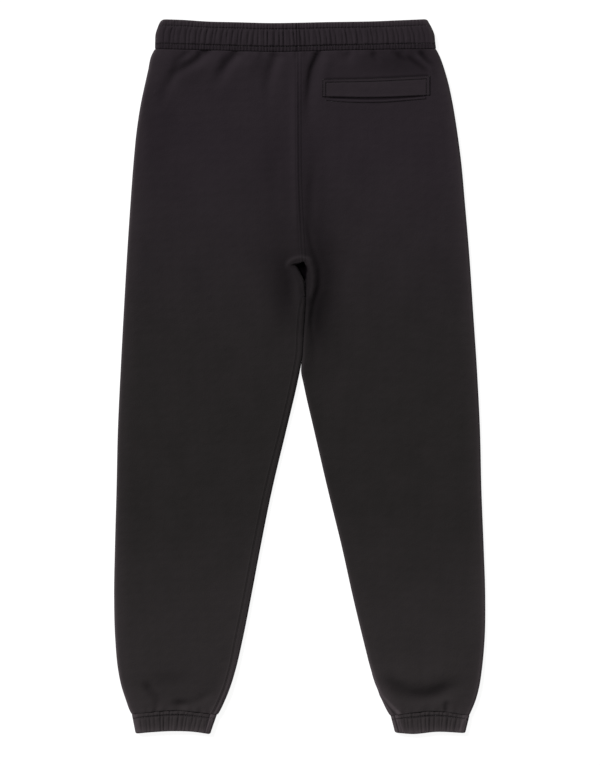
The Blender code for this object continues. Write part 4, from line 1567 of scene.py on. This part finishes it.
@dataclass
class PocketPiece:
    """A strip sewn on the right back: the welt, or the folded lip under the pocket's mouth."""

    node: str
    leg: Leg
    left: float
    right: float
    upper: Line
    lower: Line
    thickness: float
    folded: bool
    sag: float
    finish: bpy.types.Material
    border: float = 4.2
    paled: float = 0.07
    ditch: float = 0.0
    least: float = 0.3
    lower_round: float = 1.2
    upper_round: float = 1.4
    top_shade: float = 0.15
    row_width: float = 0.75
    row_depth: float = 0.85
    row_press: float = 0.75
    outline_shade: float = 0.9
    puff: float = 0.25
    puff_reach: float = 26.0

    def thickness_at(self, side: Array, top: Array, bottom: Array, share: Array) -> tuple[Array, Array]:
        """Return the strip's thickness and press.

        Args:
            side: Distances from the nearer end.
            top: Distances from the upper edge.
            bottom: Distances from the lower edge.
            share: Shares of the strip's length.

        Returns:
            The thickness, and the press and painted shade at each point.
        """
        sewn = (side if self.folded else np.minimum(side, top)) - self.ditch
        rise, fall = rounded(sewn), rounded(bottom / self.lower_round)
        if self.folded:
            rise = rise * rounded(top / self.upper_round)
            swell = self.sag * np.sin(math.pi * share)
            # Along the lip's top edge, by the slit, the cloth gets painted shade.
            return self.least + (self.thickness + swell) * rise * fall, self.top_shade * bell(top, 1.2)
        row = bell(sewn - self.border, self.row_width)
        softer = np.where((share > 0.5) & (side < top), 0.4, 1.0)
        # Painted shade along the welt's outline, softer at its right end.
        outline = self.outline_shade * bell(sewn + 0.2, 1.0) * softer
        puff = self.puff * np.sin(math.pi * np.clip(top / self.puff_reach, 0.0, 1.0))
        thick = self.least + (self.thickness + puff) * rise * fall - self.row_depth * row * fall
        return thick, np.clip(np.maximum(self.row_press * row, outline), 0.0, 1.0)

    def build(self) -> bpy.types.Object:
        """Returns:
            The strip's piece.
        """
        length = self.right - self.left
        fine = graded(0.0, 7.0, 0.3, 1.06)
        across = np.concatenate(
            (fine, np.linspace(7.0, length - 7.0, 70)[1:-1], length - np.array(fine[::-1])),
        )
        along = np.linspace(self.left, self.right, 50)
        depth = float(np.mean(self.lower(along) - self.upper(along)))
        down = np.linspace(0.0, 1.0, max(round(depth / 0.42), 10) + 1)
        x = self.left + across[None, :].repeat(len(down), axis=0)
        upper, lower = self.upper(x), self.lower(x)
        drop = upper + (lower - upper) * down[:, None]
        side = np.minimum(x - self.left, self.right - x)
        thick, press_and_shade = self.thickness_at(side, drop - upper, lower - drop, (x - self.left) / length)
        base = self.leg.top_height(x.ravel(), drop.ravel()).reshape(x.shape)
        lifted = base + POCKET_MOUTH.lift * -0.45 * bell(drop - 109.0, 4.0)
        outer = np.column_stack((x.ravel(), LENGTH / 2 - drop.ravel(), (lifted + thick).ravel()))
        inner = np.column_stack((x.ravel(), LENGTH / 2 - drop.ravel(), base.ravel()))
        rows, columns = x.shape
        faces = wall_faces(rows, columns)
        pressed_and_shaded = np.concatenate((press_and_shade.ravel(), np.zeros(press_and_shade.size)))
        piece = make_cloth(
            self.node + "_sewn", np.vstack((outer, inner)), faces, pressed_and_shaded, self.finish, self.paled,
        )
        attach(piece, ROOT)
        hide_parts(self.node)
        return piece


# ---- Stitching ----


@dataclass
class Stitching:
    """Rows of stitches that lie on the cloth, laid along their routes by Geometry Nodes."""

    name: str
    pitch: float
    thread: float
    fill: float
    sink: float
    finish: bpy.types.Material
    seed: int = 5
    rows: list[list[tuple[float, float]]] = field(default_factory=list)

    def add(self, points: Sequence[tuple[float, float]]) -> None:
        """Add a row that runs through (x, drop) points."""
        self.rows.append(list(points))

    def tree(self) -> bpy.types.NodeTree:
        """Build the node tree that turns a row's edges into stitches.

        Returns:
            The tree, with its sizes as named inputs.
        """
        tree = bpy.data.node_groups.new(self.name + "_stitch", "GeometryNodeTree")
        sockets = (
            ("Rows", "INPUT", "NodeSocketGeometry"), ("Pitch", "INPUT", "NodeSocketFloat"),
            ("Thread Radius", "INPUT", "NodeSocketFloat"), ("Stitch Half Length", "INPUT", "NodeSocketFloat"),
            ("Stitches", "OUTPUT", "NodeSocketGeometry"),
        )
        for name, direction, kind in sockets:
            tree.interface.new_socket(name=name, in_out=direction, socket_type=kind)
        given = add_node(tree, "NodeGroupInput").outputs
        path = add_node(tree, "GeometryNodeMeshToCurve", inputs={"Mesh": given["Rows"]})
        spaced = add_node(
            tree, "GeometryNodeCurveToPoints", {"mode": "LENGTH"},
            {"Curve": path.outputs["Curve"], "Length": given["Pitch"]},
        )
        turn = add_node(
            tree, "FunctionNodeAlignRotationToVector", {"axis": "Z"}, {"Vector": spaced.outputs["Tangent"]},
        )
        ball = add_node(tree, "GeometryNodeMeshUVSphere", inputs={"Segments": 6, "Rings": 5, "Radius": 1.0})
        size = add_node(
            tree, "ShaderNodeCombineXYZ",
            inputs={
                "X": given["Thread Radius"], "Y": given["Thread Radius"], "Z": given["Stitch Half Length"],
            },
        )
        vary = add_node(
            tree, "FunctionNodeRandomValue", {"data_type": "FLOAT"},
            {"Min": 0.85, "Max": 1.1, "Seed": self.seed},
        )
        scale = add_node(
            tree, "ShaderNodeVectorMath", {"operation": "SCALE"},
            {"Vector": size.outputs["Vector"], "Scale": vary.outputs[1]},
        )
        laid = add_node(
            tree, "GeometryNodeInstanceOnPoints",
            inputs={
                "Points": spaced.outputs["Points"], "Instance": ball.outputs["Mesh"],
                "Rotation": turn.outputs["Rotation"], "Scale": scale.outputs["Vector"],
            },
        )
        real = add_node(tree, "GeometryNodeRealizeInstances", inputs={"Geometry": laid.outputs["Instances"]})
        dressed = add_node(
            tree, "GeometryNodeSetMaterial",
            inputs={"Geometry": real.outputs["Geometry"], "Material": self.finish},
        )
        add_node(tree, "NodeGroupOutput", inputs={"Stitches": dressed.outputs["Geometry"]})
        return tree

    def build(self, cloth: Sequence[bpy.types.Object]) -> bpy.types.Object:
        """Lay the rows on the cloth and turn them into stitches.

        Args:
            cloth: The pieces that the rows lie on.

        Returns:
            The stitches as one plain mesh.
        """
        ground = BVHTree.FromPolygons(*joined(cloth))
        points: list[Vector] = []
        edges: list[tuple[int, int]] = []
        for row in self.rows:
            first = len(points)
            for x, drop in spaced_points(row, 1.0):
                hit = ground.ray_cast(Vector((x, LENGTH / 2 - drop, 60.0)) * MM, Vector((0.0, 0.0, -1.0)))[0]
                if hit is not None:
                    points.append(hit - Vector((0.0, 0.0, self.sink * MM)))
            edges += [(i, i + 1) for i in range(first, len(points) - 1)]
        mesh = bpy.data.meshes.new(self.name + "_rows")
        mesh.from_pydata(points, edges, [])
        holder = new_object(self.name + "_rows", mesh)
        modifier = holder.modifiers.new("stitches", "NODES")
        tree = self.tree()
        values = {
            "Pitch": self.pitch * MM, "Thread Radius": self.thread / 2 * MM,
            "Stitch Half Length": self.pitch * self.fill / 2 * MM,
        }
        modifier.node_group = tree
        for socket in tree.interface.items_tree:
            if socket.name in values:
                modifier[socket.identifier] = values[socket.name]
        graph = bpy.context.evaluated_depsgraph_get()
        made = bpy.data.meshes.new_from_object(holder.evaluated_get(graph))
        holder.modifiers.remove(modifier)
        bpy.data.objects.remove(holder, do_unlink=True)
        made.name = self.name
        made.shade_smooth()
        piece = new_object(self.name, made)
        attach(piece, ROOT)
        LOG.info("%s: %d rows, %d faces", self.name, len(self.rows), len(made.polygons))
        return piece


def joined(pieces: Sequence[bpy.types.Object]) -> tuple[list[Vector], list[tuple[int, ...]]]:
    """Join several pieces as one set.

    Args:
        pieces: The pieces.

    Returns:
        All points, and all faces by their points' numbers.
    """
    points: list[Vector] = []
    faces: list[tuple[int, ...]] = []
    for piece in pieces:
        base = len(points)
        points += [vertex.co.copy() for vertex in piece.data.vertices]
        faces += [tuple(base + i for i in face.vertices) for face in piece.data.polygons]
    return points, faces


def spaced_points(row: Sequence[tuple[float, float]], step: float) -> Array:
    """Return points at even steps along a row.

    Args:
        row: The row's (x, drop) points.
        step: The length of a step.

    Returns:
        The points.
    """
    route = np.array(row, dtype=float)
    length = np.append(0.0, np.cumsum(np.hypot(*np.diff(route, axis=0).T)))
    places = np.linspace(0.0, length[-1], max(int(length[-1] / step), 1) + 1)
    return np.column_stack([np.interp(places, length, route[:, axis]) for axis in (0, 1)])


# ---- Studio ----


@dataclass
class Studio:
    """Pale floor, soft light and a camera straight above the garment."""

    render_height: int = 765
    millimetres_per_pixel: float = 1.4
    middle: tuple[float, float] = (0.1, -7.5)
    fold_height: float = 5.5
    lens: float = 120.0
    sensor: float = 36.0
    floor_half: float = 12.0
    world_strength: float = 0.5
    key_strength: float = 7.4
    key_spread: float = math.radians(22.0)
    key_from: tuple[float, float, float] = (-1.0, 1.05, 1.1)

    def build(self) -> None:
        """Set the stage, the lights and the camera."""
        self.add_floor()
        self.add_world()
        self.add_key()
        self.add_camera()

    def add_floor(self) -> None:
        """Add the floor, just under the garment."""
        half = self.floor_half
        mesh = bpy.data.meshes.new("floor")
        corners = [(-half, -half, 0.0), (half, -half, 0.0), (half, half, 0.0), (-half, half, 0.0)]
        mesh.from_pydata(corners, [], [(0, 1, 2, 3)])
        mesh.materials.append(PanelFinish().make())
        floor = new_object("floor", mesh)

    def add_world(self) -> None:
        """Add even light from all round."""
        world = bpy.data.worlds.new("soft_room")
        world.use_nodes = True
        background = world.node_tree.nodes["Background"]
        background.inputs["Color"].default_value = (1.0, 1.0, 1.0, 1.0)
        background.inputs["Strength"].default_value = self.world_strength
        bpy.context.scene.world = world

    def add_key(self) -> None:
        """Add one broad light, even over the whole garment, from above its upper left."""
        light = bpy.data.lights.new("key", "SUN")
        light.energy = self.key_strength
        light.angle = self.key_spread
        lamp = new_object("key", light)
        lamp.location = Vector(self.key_from) * 2.0
        lamp.rotation_euler = Vector(self.key_from).to_track_quat("Z", "Y").to_euler()

    def add_camera(self) -> None:
        """Add the camera, so far up that the render's height spans the garment at its scale."""
        tall = self.render_height * self.millimetres_per_pixel * MM
        camera = bpy.data.cameras.new("camera")
        camera.lens = self.lens
        camera.sensor_width = self.sensor
        camera.clip_end = 100.0
        eye = new_object("camera", camera)
        height = tall * self.lens / self.sensor + self.fold_height * MM
        eye.location = (self.middle[0] * MM, self.middle[1] * MM, height)
        bpy.context.scene.camera = eye
        bpy.context.scene.view_settings.view_transform = "Standard"


# ---- The garment ----


@dataclass
class Joggers:
    """The whole garment, in the order it is put together."""

    fleece: dict[Side, bpy.types.Material] = field(default_factory=dict)
    legs: dict[Side, Leg] = field(default_factory=dict)
    pieces: dict[str, bpy.types.Object] = field(default_factory=dict)

    def build(self) -> None:
        """Build every piece."""
        for side in Side:
            turn = math.radians(4.0) * side.value
            self.fleece[side] = FleeceFinish(f"brushed_back_fleece_{side.word}", grain_turn=turn).make()
            self.legs[side] = Leg(side)
            self.add_leg(side)
        self.add_bands()
        self.add_pocket()
        self.add_stitching()

    def add_leg(self, side: Side) -> None:
        """Add a leg's two panels.

        Args:
            side: The leg's side.
        """
        front = LegPanel(self.legs[side], Layer.FRONT, self.fleece[side], middle_lanes=8)
        back = LegPanel(self.legs[side], Layer.BACK, self.fleece[side], middle_lanes=84)
        under, over = front.build(), back.build()
        self.pieces[under.name], self.pieces[over.name] = under, over

    def add_bands(self) -> None:
        """Add the waistband and the cuffs."""
        finish = FleeceFinish("gathered_fleece").make()
        waist = GatheredBand(
            node="waistband", gathers=52, wall=5.5, height=12.0, lift=1.2, left=WAIST_ENDS.line("left"),
            right=WAIST_ENDS.line("right"), top=WAIST_TOP, bottom=WAIST_SEAM, free_at_top=True,
            lean=Line((-200.0, -150.0, -90.0, -40.0, 190.0), (0.0, 3.5, 5.0, 0.0, 1.0)),
            stitched=((WAIST_ROWS[0], 1.0, 0.34), (WAIST_ROWS[1], 1.0, 0.72)), depth=41.0, cut_width=1020.0,
            join=Line((0.0, 1.0), (-4.6, -3.2)), finish=finish, seed=11,
        )
        self.keep(waist.build())
        for side, ends in CUFF_ENDS.items():
            cuff = GatheredBand(
                node="cuff_" + side.word, gathers=16, wall=4.3, height=9.6, lift=1.15, settle=0.9,
                left=ends.line("left"), right=ends.line("right"), top=CUFF_SEAM[side], bottom=CUFF_HEM[side],
                free_at_top=False, lean=Line((-240.0, 240.0), (0.0, 0.0)), stitched=((0.215, 1.0, 0.62),),
                valley_shade=0.6, join_highlight=0.75, end_reach=7.5, row_width=1.2, seam_press=0.2, fade_down=0.4,
                join_press=0.62, least_valley=0.0, rim_highlight=0.24, rim_reach=6.0, corner=1.3, end_highlight=0.55,
                depth=28.0, cut_width=290.0, join=ends.line("join"), finish=finish, seed=23 + int(side.value),
                under_steps=24,
            )
            self.keep(cuff.build())

    def add_pocket(self) -> None:
        """Add the welt and the lip of the right back pocket."""
        leg, cloth = self.legs[Side.RIGHT], self.fleece[Side.RIGHT]
        welt = PocketPiece(
            node="pocket_welt", leg=leg, left=31.4, right=182.4, upper=WELT.line("upper"),
            lower=WELT.line("lower"), thickness=1.0, folded=False, sag=0.0, finish=cloth, ditch=0.9,
        )
        lip = PocketPiece(
            node="pocket_lip", leg=leg, left=36.0, right=176.0, upper=LIP.line("upper"),
            lower=LIP.line("lower"), thickness=0.6, folded=True, sag=0.45, lower_round=1.9, finish=cloth,
            paled=-0.02,
        )
        self.keep(welt.build())
        self.keep(lip.build())

    def add_stitching(self) -> None:
        """Add the rows of stitches along the seams, the bands and the pocket."""
        thread = ThreadFinish().make()
        seams = Stitching("seam_stitches", pitch=3.0, thread=0.5, fill=0.86, sink=0.28, finish=thread)
        centre = CENTRE_SEAM.line("x")
        drops = np.linspace(*CENTRE_ROW_SPAN, 40)
        for beside in (-NEEDLE_ROW, NEEDLE_ROW):
            seams.add([(float(centre(drop)) + beside, float(drop)) for drop in drops])
        for side, start in INSEAM_STARTS.items():
            self.add_inseam_rows(seams, side, start)
        seams.build(list(self.pieces.values()))
        bands = Stitching("band_stitches", pitch=3.2, thread=0.6, fill=0.84, sink=0.15, finish=thread)
        over, under = WAIST_TOP.line("drop"), WAIST_SEAM.line("drop")
        for along in WAIST_ROWS:
            span = np.linspace(*WAIST_ROW_SPAN, 90)
            bands.add([(float(x), float(over(x) * (1 - along) + under(x) * along)) for x in span])
        for side in Side:
            seam = CUFF_SEAM[side].line("drop")
            rows = CUFF_SEAM[side].rows
            low, high = rows[0][0] + CUFF_ROW_STOP, rows[-1][0] - CUFF_ROW_STOP
            bands.add([(float(x), float(seam(x)) + CUFF_ROW) for x in np.linspace(low, high, 30)])
        bands.build(list(self.pieces.values()))
        pocket = Stitching("pocket_stitches", pitch=2.8, thread=0.5, fill=0.86, sink=0.1, finish=thread)
        upper = WELT.line("upper")
        for inside in WELT_ROWS:
            left, right = WELT_SPAN[0] + inside, WELT_SPAN[1] - inside
            top_row = [
                (float(x), float(upper(x)) + WELT_TOP_IN + inside) for x in np.linspace(left, right, 40)
            ]
            pocket.add([(left, WELT_FEET[0]), (left, top_row[0][1])])
            pocket.add(top_row)
            pocket.add([(right, top_row[-1][1]), (right, WELT_FEET[1])])
        lower = LIP.line("lower")
        pocket.add([(float(x), float(lower(x)) + LIP_ROW) for x in np.linspace(*LIP_ROW_SPAN, 40)])
        pocket.build(list(self.pieces.values()))

    def add_inseam_rows(self, seams: Stitching, side: Side, start: float) -> None:
        """Add the twin rows beside an inseam, down to the cuff.

        Args:
            seams: The stitching that gets them.
            side: The leg's side.
            start: The drop that they start at.
        """
        leg = self.legs[side]
        for beside in (-INSEAM_ROW, INSEAM_ROW):
            row = []
            for station in np.linspace(start, PANEL_END - 1.5, 150):
                _, inner, _, radius = leg.section(float(station))
                _, past_top = leg.inseam_place(float(station), radius)
                x = side.value * (inner + radius + past_top + beside)
                if past_top > 0.0:
                    row.append((float(x), float(leg.drop_at(np.array(x), float(station)))))
            seams.add(row)

    def keep(self, piece: bpy.types.Object) -> None:
        """Keep a piece under its name."""
        self.pieces[piece.name] = piece


def main() -> None:
    """Build the studio and the garment."""
    logging.basicConfig(level=logging.INFO, format="%(name)s: %(message)s")
    Studio().build()
    Joggers().build()
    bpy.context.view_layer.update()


if __name__ == "__main__":
    main()
